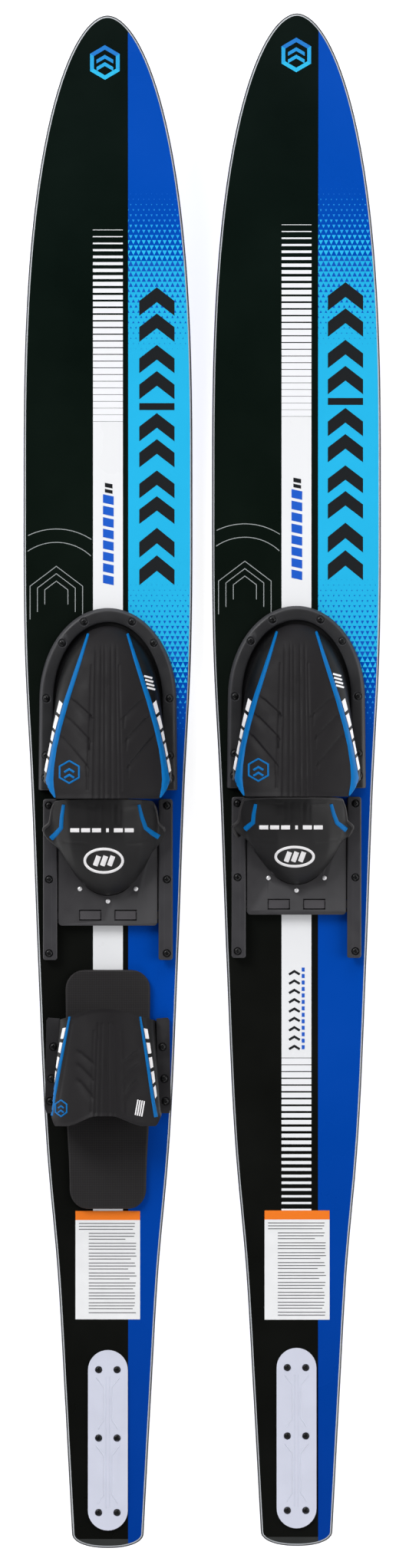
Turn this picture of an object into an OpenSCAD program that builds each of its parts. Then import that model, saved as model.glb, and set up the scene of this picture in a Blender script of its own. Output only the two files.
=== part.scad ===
// Pair of combination water skis with slide-adjust boots and one rear toe plate.
// Frame: +Y towards the tips, +X to the skier's right, +Z up. Origin midway
// between the skis at half length, on the floor plane the skis lie on.
// Every ski part is drawn in its own ski's frame: x = 0 on the ski centreline.

/* [Skis] */
// Length of one ski
ski_len = 1727; // [1715:1:1740]
// Greatest width, across the forebody
ski_w = 191; // [187:1:195]
// Height of the flat boot deck above the floor
deck_z = 25; // [24:0.5:27]
// Height of the underside at the tip
tip_rise = 122; // [90:1:140]
// Distance between the two ski centrelines
ski_gap = 213; // [206:1:260]
// How far the right ski lies ahead of the left one
ski_lead = 2.4; // [0:0.2:6]
// Thickness at the tip
tip_th = 9; // [8:0.5:11]
// Thickness over the fin
tail_th = 11.5; // [10.5:0.5:13]
// Depth of the two tunnels in the running base
tunnel_d = 2.4; // [1.5:0.1:2.8]

/* [Fin] */
// Height of the underside above the floor at the middle of the fin
fin_depth = 33; // [30:0.5:36]
// Length of the fin plate
fin_plate_len = 203; // [198:1:206]
// Width of the fin plate
fin_plate_w = 45; // [43:0.5:47]
// Thickness of the fin blade
fin_t = 4.5; // [4:0.1:6]

/* [Front boot] */
// Half width of the clamp frame, to its screw line
frame_half_w = 69.5; // [68.5:0.5:70]
// Length of the rounded front of the clamp frame, to its screw line
frame_nose = 96; // [94:0.5:97]
// Width of the clamp frame bar
frame_w = 16; // [15:0.5:16]
// Height of the clamp frame
frame_h = 7.5; // [7:0.5:9]
// Height of the toe overlay at its rear hem
hem_h = 87; // [86:0.5:92]
// Rubber thickness
rubber_t = 3.5; // [3:0.1:3.5]

/* [Heel slide] */
// Length of a side rail
rail_len = 182; // [180:1:184]
// Pitch of the adjustment notches
notch = 5; // [5:5:5]
// Heel plate length
plate_len = 126; // [125:0.5:127]
// How far the right heel is set ahead of the left one, a whole number of notches
heel_lead = 10; // [0:5:10]

/* [Rear toe plate] */
// Length of the rear footbed
rtp_len = 270; // [264:1:272]
// Half width of the rear footbed
rtp_half_w = 48.4; // [47:0.2:49]
// Height of the rear strap at its rear hem
rtp_h = 66; // [60:1:72]

/* [Fasteners] */
// Radius of a boot screw head
head_r = 3.9; // [3.6:0.1:4]
// Radius of a boot screw shank
shank_r = 2.4; // [2.2:0.1:2.45]

/* [Hidden] */

topsheet_black = [0.07, 0.09, 0.08];
base_blue = [0.02, 0.3, 0.7];
fin_black = [0.1, 0.1, 0.11];
fin_plate_silver = [0.8, 0.81, 0.87];
fin_screw_black = [0.1, 0.1, 0.1];
frame_grey = [0.25, 0.25, 0.26];
overlay_black = [0.18, 0.17, 0.18];
strap_black = [0.18, 0.18, 0.18];
pad_black = [0.12, 0.12, 0.12];
screw_black = [0.08, 0.08, 0.08];
rail_grey = [0.24, 0.24, 0.25];
tray_grey = [0.2, 0.2, 0.21];
cover_grey = [0.25, 0.24, 0.25];
cup_black = [0.14, 0.13, 0.14];
rivet_silver = [0.8, 0.8, 0.82];
bar_grey = [0.3, 0.29, 0.3];
spring_grey = [0.7, 0.7, 0.72];

// ------------------------------------------------------------------ helpers
cut = 1; // overshoot of a cutting tool past the face it opens

function lerp(from, to, t) = from + (to - from) * t;
// Smooth step from 0 to 1, held outside that range
function ease(t) = let (c = min(1, max(0, t))) c * c * (3 - 2 * c);
function bezier(start, low, high, end, t) =
  pow(1 - t, 3) * start + 3 * pow(1 - t, 2) * t * low
  + 3 * (1 - t) * t * t * high + pow(t, 3) * end;
// Points of a set together with their mirror images across x = 0
function both_sides(points) = concat(points, [for (p = points) [-p.x, p.y]]);
// Rounded rectangle
function rounded_rect(x0, y0, x1, y1, r) = [
  for (corner = [[x1 - r, y1 - r, 0], [x0 + r, y1 - r, 90],
                 [x0 + r, y0 + r, 180], [x1 - r, y0 + r, 270]], a = [0:15:90])
    [corner.x + r * cos(corner[2] + a), corner.y + r * sin(corner[2] + a)]];
function capsule(width, length, mid_y) = let (r = width / 2, run = length / 2 - r) [
  for (a = [0:10:180]) [r * cos(a), mid_y + run + r * sin(a)],
  for (a = [180:10:360]) [r * cos(a), mid_y - run + r * sin(a)]];

module at_points(points, z = 0)
  for (p = points) translate([p.x, p.y, z]) children();

// Box centred in x and y on a point, standing on its z
module block(at, size)
  translate(at - [size.x / 2, size.y / 2, 0]) cube(size);

// ---------------------------------------------------------------- ski shape
half_len = ski_len / 2;
wide_y = 346;          // widest point
nose_powers = [1.895, 2.64]; // superellipse powers of the forebody, in x and y
tail_r = 16;           // length of the tail rounding
tail_power = 2.2;

// Outline behind the widest point. Columns: y, half width
outline_stn = [
  [wide_y, ski_w / 2], [139, ski_w * 0.4906], [0, ski_w * 0.4545], [-206, ski_w * 0.4136],
  [-414, ski_w * 0.3618], [-552, ski_w * 0.2984], [-690, ski_w * 0.2565],
  [-half_len, ski_w * 0.2073]];
last_seg = len(outline_stn) - 2;

function seg_step(i) = outline_stn[i + 1] - outline_stn[i];
function seg_slope(i) = seg_step(i).y / seg_step(i).x;
function stn_slope(i) = i == 0 ? 0 : i > last_seg ? seg_slope(last_seg) :
  let (before = seg_step(i - 1).x, after = seg_step(i).x)
  (seg_slope(i) * before + seg_slope(i - 1) * after) / (before + after);
// Hermite curve over segment i
function hermite(i, y) = let (run = seg_step(i).x, t = (y - outline_stn[i].x) / run)
  (2 * t * t * t - 3 * t * t + 1) * outline_stn[i].y
  + (t * t * t - 2 * t * t + t) * run * stn_slope(i)
  + (3 * t * t - 2 * t * t * t) * outline_stn[i + 1].y
  + (t * t * t - t * t) * run * stn_slope(i + 1);
function seg_at(y, i = 0) =
  i >= last_seg || y >= outline_stn[i + 1].x ? i : seg_at(y, i + 1);
function tail_round(y) = let (s = (y + half_len) / tail_r)
  s >= 1 ? 1 : pow(max(0, 1 - pow(1 - max(0, s), tail_power)), 1 / tail_power);
// Half width of the ski at y
function half_width(y) = y > wide_y
  ? ski_w / 2 * pow(max(0, 1 - pow((y - wide_y) / (half_len - wide_y), nose_powers.y)),
                    1 / nose_powers.x)
  : hermite(seg_at(y), y) * tail_round(y);

// Underside height: level under the front boot, rocker to tip and tail
flat_front = 160;
flat_rear = -120;
fin_depth_y = -752; // where fin_depth and tail_th hold
function underside(y) =
  y > flat_front ? tip_rise * pow((y - flat_front) / (half_len - flat_front), 2.4)
  : y < flat_rear ? fin_depth * pow((flat_rear - y) / (flat_rear - fin_depth_y), 2) : 0;

// Deck height: level from the front boot to the rear toe plate
deck_front = 200;
deck_rear = -483;
taper_len = 520;  // run over which the deck thins towards the tip
tail_bend = 150;  // softness of the bend behind the level deck
function tail_curve(run) = sqrt(pow(run, 2) + tail_bend * tail_bend) - tail_bend;
tail_scale = (fin_depth + tail_th - deck_z) / tail_curve(deck_rear - fin_depth_y);
function topside(y) =
  y > deck_front
    ? underside(y) + tip_th + (deck_z - tip_th - underside(deck_front))
      * (1 - ease((y - deck_front) / taper_len))
  : y < deck_rear ? deck_z + tail_scale * tail_curve(deck_rear - y) : deck_z;

// Planform outline; both sides share the same stations, close set at the ends
nose_run = 60;
tail_run = 24;
plan_y = [
  for (i = [1:13]) half_len - nose_run * pow(i / 14, 2),
  for (y = [half_len - nose_run:-24:-half_len + 30]) y,
  for (i = [0:9]) -half_len + tail_run * pow(1 - i / 10, 2)];
plan = concat([for (y = plan_y) [half_width(y), y]],
  [for (i = [len(plan_y) - 1:-1:0]) [-half_width(plan_y[i]), plan_y[i]]]);

// Stations of the side profile, tip to tail
profile_end = 860;
profile_y = concat([half_len + 2],
  [for (i = [0:29]) lerp(profile_end, deck_front, i / 30)],
  [deck_front, 180, flat_front, 20, flat_rear],
  [for (i = [1:15]) lerp(flat_rear, deck_rear, i / 15)],
  [for (i = [1:15]) lerp(deck_rear, -profile_end, i / 15)],
  [-half_len - 2]);
function from_base(rise) = [for (y = profile_y) [y, underside(y) + rise]];
function from_deck(rise) = [for (y = profile_y) [y, topside(y) + rise]];

// Layer with a plan outline, between two side profile lines
module layer(outline, lower, upper) {
  intersection() {
    linear_extrude(200) polygon(outline);
    rotate([90, 0, 90]) translate([0, 0, -150]) linear_extrude(300)
      polygon(concat(lower, [for (i = [len(upper) - 1:-1:0]) upper[i]]));
  }
}

// ------------------------------------------------------------ screw stations
nose_y = 94;     // centre of the clamp frame's rounded front
frame_flare = 1; // how far the frame's rear ends stand outside its half width
frame_rear = -8;
// Point of the rounded front, at offset off outside the screw line
function nose_pt(a, off = 0) =
  [(frame_half_w + off) * cos(a), nose_y + (frame_nose + off) * sin(a)];

rail_front = -17.8;
rail_screw_inset = 7.5;

// Columns: x, y on the right-hand side
frame_stn = concat([for (a = [67, 42, 1]) nose_pt(a)], [[70, 31], [70.5, 6]]);
rail_stn = [for (i = [0:2])
  [66.5, rail_front - rail_screw_inset - i * (rail_len - 2 * rail_screw_inset) / 2]];
rtp_stn = both_sides([[61.5, -298], [63.5, -334], [65, -359.4]]);
fin_stn = both_sides([for (y = [-662.7, -739.6, -823.4]) [10.4, y]]);
front_stn = both_sides(concat(frame_stn, rail_stn));

// Pan head screw, cross recess, head seat at z = 0
module pan_screw(length, head = head_r, shank = shank_r, head_h = 2.3) {
  recess_w = 0.9;
  recess_d = 1.3;
  difference() {
    union() {
      rotate_extrude($fn = 40) polygon([[0, 0], [head, 0], [head, head_h * 0.3],
        [head * 0.9, head_h * 0.62], [head * 0.68, head_h * 0.87],
        [head * 0.36, head_h], [0, head_h]]);
      translate([0, 0, -length]) cylinder(r = shank, h = length + 0.2, $fn = 32);
    }
    for (a = [0, 90]) rotate([0, 0, a])
      block([0, 0, head_h - recess_d], [head * 1.1, recess_w, 3]);
  }
}

// Clearance hole for a boot screw, through a part standing on z = 0
module screw_hole() translate([0, 0, -cut]) cylinder(r = 2.75, h = 20, $fn = 40);

// Flared head seat, 1 deep; gaps are outside the head at its floor and mouth
module flared_seat(z, floor_gap, mouth_gap) translate([0, 0, z])
  cylinder(r1 = head_r + floor_gap, r2 = head_r + mouth_gap, h = 1.001, $fn = 40);

// ------------------------------------------------------------------ ski body
skin_t = 1.4;
base_t = 4.2;
insert_r = 4.4;
insert_len = 12;
insert_z = deck_z - skin_t - insert_len;

module ski_holes(points, r, z0, z1)
  at_points(points, z0) cylinder(r = r, h = z1 - z0, $fn = 40);
module fin_holes(r = 2.6) ski_holes(fin_stn, r, 0, 80);

module ski_core(stations) {
  difference() {
    layer(plan, from_base(base_t), from_deck(-skin_t));
    ski_holes(stations, insert_r + 0.1, insert_z, deck_z + cut);
    fin_holes();
  }
}

module ski_topsheet(stations) {
  difference() {
    layer(plan, from_deck(-skin_t), from_deck(0));
    ski_holes(stations, 2.9, deck_z - 5, deck_z + 5);
    fin_holes();
  }
}

// One tunnel: channel in three steps that follows the rocker. Each deeper
// step is shorter and narrower. side is 1 for +x, -1 for -x.
module tunnel(side) {
  for (k = [0:2]) {
    end_y = 560 - 30 * k;
    inner_x = 9 + 8 * k;
    outer_min_x = 12 + 9 * k;
    edge_gap = 15 + 7 * k;
    outline = [
      for (y = [end_y:-40:-end_y - 20]) [side * inner_x, y],
      for (y = [-end_y:40:end_y]) [side * max(outer_min_x, half_width(y) - edge_gap), y]];
    layer(outline, from_base(-3), from_base(tunnel_d * (k + 1) / 3));
  }
}

module ski_base() {
  difference() {
    layer(plan, from_base(0), from_base(base_t));
    tunnel(1);
    tunnel(-1);
    fin_holes();
  }
}

// Ribbed sleeves that the boot screws run into
module insert_set(stations) {
  at_points(stations, insert_z) difference() {
    union() {
      cylinder(r = insert_r - 0.5, h = insert_len, $fn = 24);
      for (z = [0, 4, 8]) translate([0, 0, z]) cylinder(r = insert_r, h = 2.6, $fn = 24);
    }
    translate([0, 0, 1.5]) cylinder(r = shank_r + 0.06, h = insert_len, $fn = 32);
  }
}

// ----------------------------------------------------------------------- fin
fin_plate_y = -742;   // middle of the fin plate
fin_foot_t = 3;       // flange under the ski
fin_seat = 1;         // screw head seat above the topsheet
// Blade outline, top edge sunk into the flange. Columns: y, z
blade_outline = [
  [-655, underside(-655) - 1.5], [-662, underside(-662) - 8], [-674, 11], [-688, 3.4],
  [-704, 0], [-792, 0], [-808, 4], [-821, 14], [-830, 26], [-834, underside(-834) - 1.5]];

module fin() {
  difference() {
    union() {
      layer(capsule(fin_plate_w - 1, fin_plate_len - 2, fin_plate_y),
        from_base(-fin_foot_t), from_base(0));
      rotate([90, 0, 90]) translate([0, 0, -fin_t / 2]) linear_extrude(fin_t)
        polygon(blade_outline);
    }
    fin_holes(2.1);
  }
}

module fin_plate() {
  difference() {
    layer(capsule(fin_plate_w, fin_plate_len, fin_plate_y), from_deck(0), from_deck(2.6));
    at_points(fin_stn) cylinder(r = 2.6, h = 90, $fn = 40);
    for (p = fin_stn) translate([p.x, p.y, topside(p.y) + fin_seat])
      cylinder(r = 4.2, h = 8, $fn = 40);
  }
}

module fin_screws() {
  for (p = fin_stn) {
    seat_z = topside(p.y) + fin_seat;
    translate([p.x, p.y, seat_z])
      pan_screw(seat_z - underside(p.y) + 2.2, head = 3.7, shank = 2, head_h = 2.2);
  }
}

// ---------------------------------------------------------------- toe frame
flange_t = 2.4;  // rubber flange under the frame and clamps
rebate_h = 2.6;  // rebate that takes the flange
frame_seat_z = frame_h - 1;
// Horseshoe line at offset off from the screw line; closed behind at rear_y
function horseshoe(off, rear_y) = let (rear_x = frame_half_w + frame_flare + off)
  concat([[rear_x, rear_y]], [for (a = [0:4:180]) nose_pt(a, off)], [[-rear_x, rear_y]]);

module toe_frame() {
  half_bar = frame_w / 2;
  past_rear = frame_rear - 30;
  translate([0, 0, deck_z]) difference() {
    linear_extrude(frame_h) difference() {
      polygon(horseshoe(half_bar, frame_rear));
      polygon(horseshoe(-half_bar, past_rear));
    }
    translate([0, 0, -cut]) linear_extrude(rebate_h + cut)
      polygon(horseshoe(-half_bar + 5, past_rear));
    at_points(both_sides(frame_stn)) {
      screw_hole();
      flared_seat(frame_seat_z, floor_gap = 0.5, mouth_gap = 1.5);
    }
  }
}
module frame_screws() at_points(both_sides(frame_stn), deck_z + frame_seat_z) pan_screw(17);

// --------------------------------------------------------------- thick sheets
// Two triangles over four corners, split from first to third
function quad(p0, p1, p2, p3) = [[p0, p1, p2], [p0, p2, p3]];
// Solid between two grids of points, each a list of rows. With weld true the
// last row folds on itself: its columns c and cols - 1 - c are one point.
module sheet(first, second, weld = false) {
  rows = len(first);
  cols = len(first[0]);
  last_r = rows - 1;
  last_c = cols - 1;
  // Point index; skin 0 is the first grid, 1 the second
  function id(skin, r, c) = (skin * rows + r) * cols
    + (weld && r == last_r && c > last_c / 2 ? last_c - c : c);
  faces = [
    for (r = [0:last_r - 1], c = [0:last_c - 1])
      each quad(id(0, r, c), id(0, r, c + 1), id(0, r + 1, c + 1), id(0, r + 1, c)),
    for (r = [0:last_r - 1], c = [0:last_c - 1])
      each quad(id(1, r, c), id(1, r + 1, c), id(1, r + 1, c + 1), id(1, r, c + 1)),
    for (c = [0:last_c - 1])
      each quad(id(0, 0, c), id(1, 0, c), id(1, 0, c + 1), id(0, 0, c + 1)),
    if (!weld) for (c = [0:last_c - 1])
      each quad(id(0, last_r, c), id(0, last_r, c + 1),
                id(1, last_r, c + 1), id(1, last_r, c)),
    for (r = [0:last_r - 1])
      each quad(id(0, r, 0), id(0, r + 1, 0), id(1, r + 1, 0), id(1, r, 0)),
    for (r = [0:last_r - 1])
      each quad(id(0, r, last_c), id(1, r, last_c), id(1, r + 1, last_c),
                id(0, r + 1, last_c))];
  polyhedron([for (row = concat(first, second)) each row], faces, convexity = 6);
}

// In the overlay and strap, t runs 0 to 1 between their ends, q is 0 at the
// wall foot and 90 at the crest, and inset is 0 for the outer skin and
// rubber_t for the inner one.
arch_steps = 8;
flange_reach = 4.5;
function arch_angles() = [for (c = [1:arch_steps]) 90 * c / arch_steps];
// Superellipse quarter: [reach, rise], each 0 to 1
function arch_shape(q, power) = [pow(cos(q), 2 / power), pow(sin(q), 2 / power)];
// Whole row from the flange edge over the crest to the far flange edge
function arch_row(lip, foot, arch, inset) = let (
    z = deck_z + (inset > 0 ? 0 : flange_t),
    half = concat([[lip.x, lip.y, z], [foot.x, foot.y, z]], arch))
  concat(half, [for (c = [len(half) - 2:-1:0]) [-half[c].x, half[c].y, half[c].z]]);

// ---------------------------------------------------------------- toe overlay
hem_y = -17.6;
crest_front_y = 110;
crest_front_h = 52;
overlay_rear = 2;   // rear end of the flange
gutter = 4.5;       // gap between the frame and the wall foot
overlay_rows = 15;
rim_side = nose_y - overlay_rear;
rim_arc = 120;
// Outward bulge of the wall. Columns: t, bulge
bulge_stn = [
  [0, 17.5], [0.05, 18], [0.1, 16.5], [0.15, 14], [0.2, 11.6], [0.28, 9.2],
  [0.36, 6.8], [0.45, 3.8], [0.52, 1.6], [0.62, 0], [1, 0]];

// Point on the frame's inner edge, moved in by inset; t = 0 rear end, 1 toe
function rim_pt(t, inset) = let (s = t * (rim_side + rim_arc), off = -frame_w / 2 - inset)
  s < rim_side
    ? [frame_half_w + off + frame_flare * (1 - s / rim_side), overlay_rear + s]
    : nose_pt((s - rim_side) / rim_arc * 90, off);
function crest_y(t) = lerp(hem_y, crest_front_y, 1 - pow(1 - t, 1.9));
function crest_h(y) =
  lerp(hem_h, crest_front_h, pow((y - hem_y) / (crest_front_y - hem_y), 1.15));
// Power that sets how soon a row leaves the rim's y for the crest's
function sweep_power(t) = 1.9 + 6.1 * pow(1 - min(1, t * 1.6), 1.5);

function dome_pt(t, q, inset) = let (
    foot = rim_pt(t, gutter + inset),
    crest = crest_y(t),
    h = crest_h(crest) - inset - flange_t,
    shape = arch_shape(q, 2.4), reach = shape[0], rise = shape[1],
    bulge = lookup(t, bulge_stn) * sin(180 * min(1, rise)) * (0.5 + 0.5 * reach),
    hem_share = pow(1 - min(1, t / 0.35), 1.5),
    sweep = lerp(pow(reach, sweep_power(t)), ease((reach - 0.76) / 0.19), hem_share))
  [foot.x * reach + bulge, lerp(crest, foot.y, sweep),
   deck_z + flange_t * (inset > 0 ? 1 - reach : 1) + h * rise];
function overlay_skin(inset) = [for (r = [0:overlay_rows]) let (t = r / overlay_rows)
  arch_row(rim_pt(t, -flange_reach), dome_pt(t, 0, inset),
    [for (q = arch_angles()) dome_pt(t, q, inset)], inset)];

module toe_overlay() sheet(overlay_skin(0), overlay_skin(rubber_t), weld = true);

footbed_t = 8;
module toe_footbed() translate([0, 0, deck_z]) linear_extrude(footbed_t)
  polygon(horseshoe(-frame_w / 2 - gutter - rubber_t - 2, overlay_rear + 1));

// ------------------------------------------------------------------ heel unit
plate_front = -35;
plate_rear = plate_front - plate_len;
plate_half_w = 55.8;
bar_y = plate_rear + 11.8; // centreline of the lock bar
bar_len = 9.5;             // lock bar, along y
bay_len = 10.6;            // space for the lock bar, along y
tile_x = 20;
tooth_len = 2.2;
// Heights above the deck
tray_z = 0.5;
split_z = 5.5;
cover_z = 10;
rivet_stn = [[31.6, -119.5], [-31.6, -119.5], [0, -133.5]];

// Side rail for x > 0: wall, lip and notched rack under the lip
rail_h = 12.5;
lip_t = 3;
lip_x = 57.2; // edge of the lip nearest the ski centreline
rail_seat_z = 10.5;

module rail() {
  rail_rear = rail_front - rail_len;
  first_tooth = floor((rail_rear + 2 - bar_y) / notch) + 1;
  last_tooth = floor((rail_front - 2 - bar_y) / notch);
  translate([0, 0, deck_z]) difference() {
    union() {
      linear_extrude(rail_h) polygon(rounded_rect(62, rail_rear, 73.2, rail_front, 3));
      translate([0, 0, rail_h - lip_t]) linear_extrude(lip_t)
        polygon(rounded_rect(lip_x, rail_rear, 70, rail_front, 2));
      for (k = [first_tooth:last_tooth])
        translate([lip_x + 0.2, bar_y + k * notch - tooth_len / 2, 6.9])
          cube([6, tooth_len, 3]);
    }
    at_points(rail_stn) {
      screw_hole();
      translate([0, 0, rail_seat_z]) cylinder(r = head_r + 0.6, h = 3, $fn = 40);
    }
  }
}
module rail_screws() at_points(both_sides(rail_stn), deck_z + rail_seat_z) pan_screw(20);

// Heel cup foot outline, outer skin moved in by inset: U open to the front,
// ending at (front_x - inset, front_y)
cup_r = 33;
cup_y = -93;
function heel_u(inset, front_x, front_y) = concat(
  [[front_x - inset, front_y]],
  [for (a = [0:-12:-180]) [(cup_r - inset) * cos(a), cup_y + (cup_r - inset) * sin(a)]],
  [[-(front_x - inset), front_y]]);
plate_outline = rounded_rect(-plate_half_w, plate_rear, plate_half_w, plate_front, 4);

module heel_tray() {
  tray_t = split_z - tray_z;
  bay_floor = 1.9;
  translate([0, 0, deck_z]) difference() {
    union() {
      translate([0, 0, tray_z]) linear_extrude(tray_t) polygon(plate_outline);
      // runners under the rail lips
      for (s = [-1, 1]) block([s * 58, plate_front - plate_len / 2, tray_z],
        [6.4, plate_len - 6, tray_t]);
      // raised floor inside the heel cup
      translate([0, 0, split_z - 0.5]) linear_extrude(cover_z - split_z + 0.5)
        polygon(heel_u(rubber_t + 0.6, 44, plate_front - 1));
    }
    block([0, bar_y, bay_floor], [100, bay_len, 9 - bay_floor]);
    for (s = [-1, 1]) block([s * 56, bar_y, 0], [14, bay_len, 9]);
    at_points(rivet_stn, -cut) {
      cylinder(r = 2, h = 20, $fn = 32);
      cylinder(r = 3.4, h = 2.6, $fn = 32);
    }
  }
}

module heel_cover() {
  opening_x = 48.43;
  opening_front = plate_front + 5;
  translate([0, 0, deck_z]) difference() {
    translate([0, 0, split_z]) linear_extrude(cover_z - split_z) difference() {
      polygon(plate_outline);
      polygon(heel_u(-1.3, opening_x, opening_front));
    }
    // seat for the cup's flange
    translate([0, 0, split_z - cut]) linear_extrude(3.3)
      polygon(heel_u(-4.3, opening_x, opening_front));
    block([0, bar_y, split_z - cut], [140, bay_len, 4.4]);
    // windows for the tiles
    for (s = [-1, 1]) block([s * tile_x, bar_y, 0], [25.2, 12.2, 30]);
    at_points(rivet_stn) cylinder(r = 2, h = 20, $fn = 32);
  }
}

module heel_rivets() {
  at_points(rivet_stn, deck_z) {
    translate([0, 0, tray_z + 0.4]) cylinder(r = 3.2, h = 0.7, $fn = 32);
    translate([0, 0, tray_z + 0.5]) cylinder(r = 1.92, h = cover_z - tray_z, $fn = 32);
    translate([0, 0, cover_z]) rotate_extrude($fn = 40)
      polygon([[0, 0], [2.7, 0], [2.55, 0.6], [2, 1.15], [1.1, 1.5], [0, 1.6]]);
  }
}

module heel_pad() translate([0, 0, deck_z + cover_z]) linear_extrude(5)
  polygon(heel_u(rubber_t + 1.6, 43, plate_front - 3));

// Lock bar: two tiles, a cross bar and two upward teeth at each end
module lock_bar() {
  half_bar = bar_len / 2;
  translate([0, bar_y, deck_z]) difference() {
    union() {
      block([0, 0, 5.9], [100, bar_len, 2.8]);
      for (s = [-1, 1]) {
        block([s * 55, 0, 3.7], [11.8, bar_len, 2.9]);
        for (k = [-1, 1]) block([s * 59.1, k * notch / 2, 6.5], [3.4, tooth_len, 2.6]);
        translate([s * tile_x, 0, 8]) linear_extrude(2.9)
          polygon(rounded_rect(-11.2, -half_bar, 11.2, half_bar, 1.2));
      }
    }
    // spring pockets
    for (s = [-1, 1]) translate([s * tile_x, 0, 5]) cylinder(r = 2.9, h = 3.9, $fn = 32);
  }
}

// Coil spring from z0 to z1, with level turns at both ends
module coil(r, wire_r, z0, z1, turns) {
  per_turn = 12;
  sides = 6;
  steps = floor(turns * per_turn);
  points = [for (i = [0:steps], j = [0:sides - 1]) let (
      turn_a = 360 * i / per_turn,
      wire_a = 360 * j / sides,
      climb = min(1, max(0, (i / steps - 0.12) / 0.76)),
      z = lerp(z0 + wire_r, z1 - wire_r, climb),
      reach = r + wire_r * cos(wire_a))
    [reach * cos(turn_a), reach * sin(turn_a), z + wire_r * sin(wire_a) * 0.98]];
  faces = concat(
    [for (i = [0:steps - 1], j = [0:sides - 1])
      let (k = (j + 1) % sides, ring = i * sides, next = ring + sides)
      each quad(ring + j, ring + k, next + k, next + j)],
    [[for (j = [0:sides - 1]) sides - 1 - j]],
    [[for (j = [0:sides - 1]) steps * sides + j]]);
  polyhedron(points, faces, convexity = 10);
}
module lock_springs() for (s = [-1, 1]) translate([s * tile_x, bar_y, deck_z])
  coil(r = 2.1, wire_r = 0.3, z0 = 1.95, z1 = 8.85, turns = 5.5);

// ------------------------------------------------------------------ heel cup
// Foot outline below, folded-forward collar above. k runs 0 at the back of the
// heel to 1 at the front of one side, v from 0 at the foot to 1 at the rim.
// Columns of the rim: k, x, y, z above the deck
cup_rim = [
  [0, 0, -18.5, 70], [0.16, 20, -18.5, 69], [0.3, 41, -19.2, 60], [0.42, 55.5, -21, 45],
  [0.5, 59, -31, 39], [0.58, 61, -45, 35], [0.68, 68.8, -51.5, 33], [0.76, 63.5, -63.5, 27],
  [0.88, 55, -60, 21], [1, 47, -44, 19]];
cup_front = [45, -44]; // front end of the foot outline
cup_flange_t = 2.2;
cup_flange_reach = 3.8;
riser = 3.2; // upright foot of the cup wall, through the cover's opening
cup_cols = 12; // on one side
cup_rows = 9;

function cup_rim_pt(k) =
  [for (col = [1:3]) lookup(k, [for (row = cup_rim) [row[0], row[col]]])];
function cup_foot(k, inset) = k < 0.5
  ? let (a = -90 + 180 * k) [(cup_r - inset) * cos(a), cup_y + (cup_r - inset) * sin(a)]
  : let (m = 2 * k - 1) [lerp(cup_r, cup_front.x, m) - inset, lerp(cup_y, cup_front.y, m)];
// rim_back moves the rim back relative to the foot
function cup_pt(k, v, inset, rim_back) = let (
    foot = cup_foot(k, inset),
    rim = cup_rim_pt(k) - [inset * 0.55, rim_back, inset * 0.8],
    foot_z = split_z + riser + (inset > 0 ? 0 : cup_flange_t),
    back = 1 - ease(k / 0.9),
    side = ease(k / 0.35),
    low = [lerp(foot.x, rim.x, 0.05 + 0.5 * side), foot.y - 6 * back,
      foot_z + 10 + 12 * back],
    high = [lerp(foot.x, rim.x, 0.9 + 0.15 * side),
      lerp(foot.y, rim.y, 0.42) + inset * back,
      rim.z * (0.88 + 0.04 * back) - inset * 0.6 * back])
  [0, 0, deck_z] + bezier([foot.x, foot.y, foot_z], low, high, rim, v);
// Whole row from one side's points; the back point comes from the -x half
function cup_row(side) = concat(
  [for (c = [cup_cols:-1:1]) side[c]], [for (p = side) [-p.x, p.y, p.z]]);
function cup_flange_row(z, inset) = cup_row([for (c = [0:cup_cols])
  let (p = cup_foot(c / cup_cols, inset)) [p.x, p.y, deck_z + z]]);
function cup_skin(flange_z, inset, rim_back) = concat(
  [cup_flange_row(flange_z, -cup_flange_reach), cup_flange_row(flange_z, inset)],
  [for (r = [0:cup_rows]) cup_row([for (c = [0:cup_cols])
    cup_pt(c / cup_cols, r / cup_rows, inset, rim_back)])]);

module heel_cup(rim_back) sheet(cup_skin(split_z, rubber_t, rim_back),
  cup_skin(split_z + cup_flange_t, 0, rim_back));

// ------------------------------------------------------------- rear toe plate
rtp_rear = -346 - rtp_len / 2;
// Footbed outline: nearly parallel in front, narrower behind the strap.
// Columns: fraction of the length from the rear, width factor
rtp_taper = [[0, 0.885], [0.17, 0.9], [0.34, 0.952], [0.9, 0.988], [1, 0.99]];
function rtp_outline() = let (
    r = 22,
    front = rtp_rear + rtp_len,
    corners = rounded_rect(-rtp_half_w, rtp_rear, rtp_half_w, front, r),
    n = len(corners),
    side_y = [for (i = [1:7]) lerp(front - r, rtp_rear + r, i / 8)],
    loop = concat([for (i = [0:n / 2 - 1]) corners[i]],
      [for (y = side_y) [-rtp_half_w, y]],
      [for (i = [n / 2:n - 1]) corners[i]],
      [for (i = [6:-1:0]) [rtp_half_w, side_y[i]]]))
  [for (p = loop) [p.x * lookup((p.y - rtp_rear) / rtp_len, rtp_taper), p.y]];
module rtp_footbed() translate([0, 0, deck_z]) linear_extrude(footbed_t)
  polygon(rtp_outline());

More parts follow.
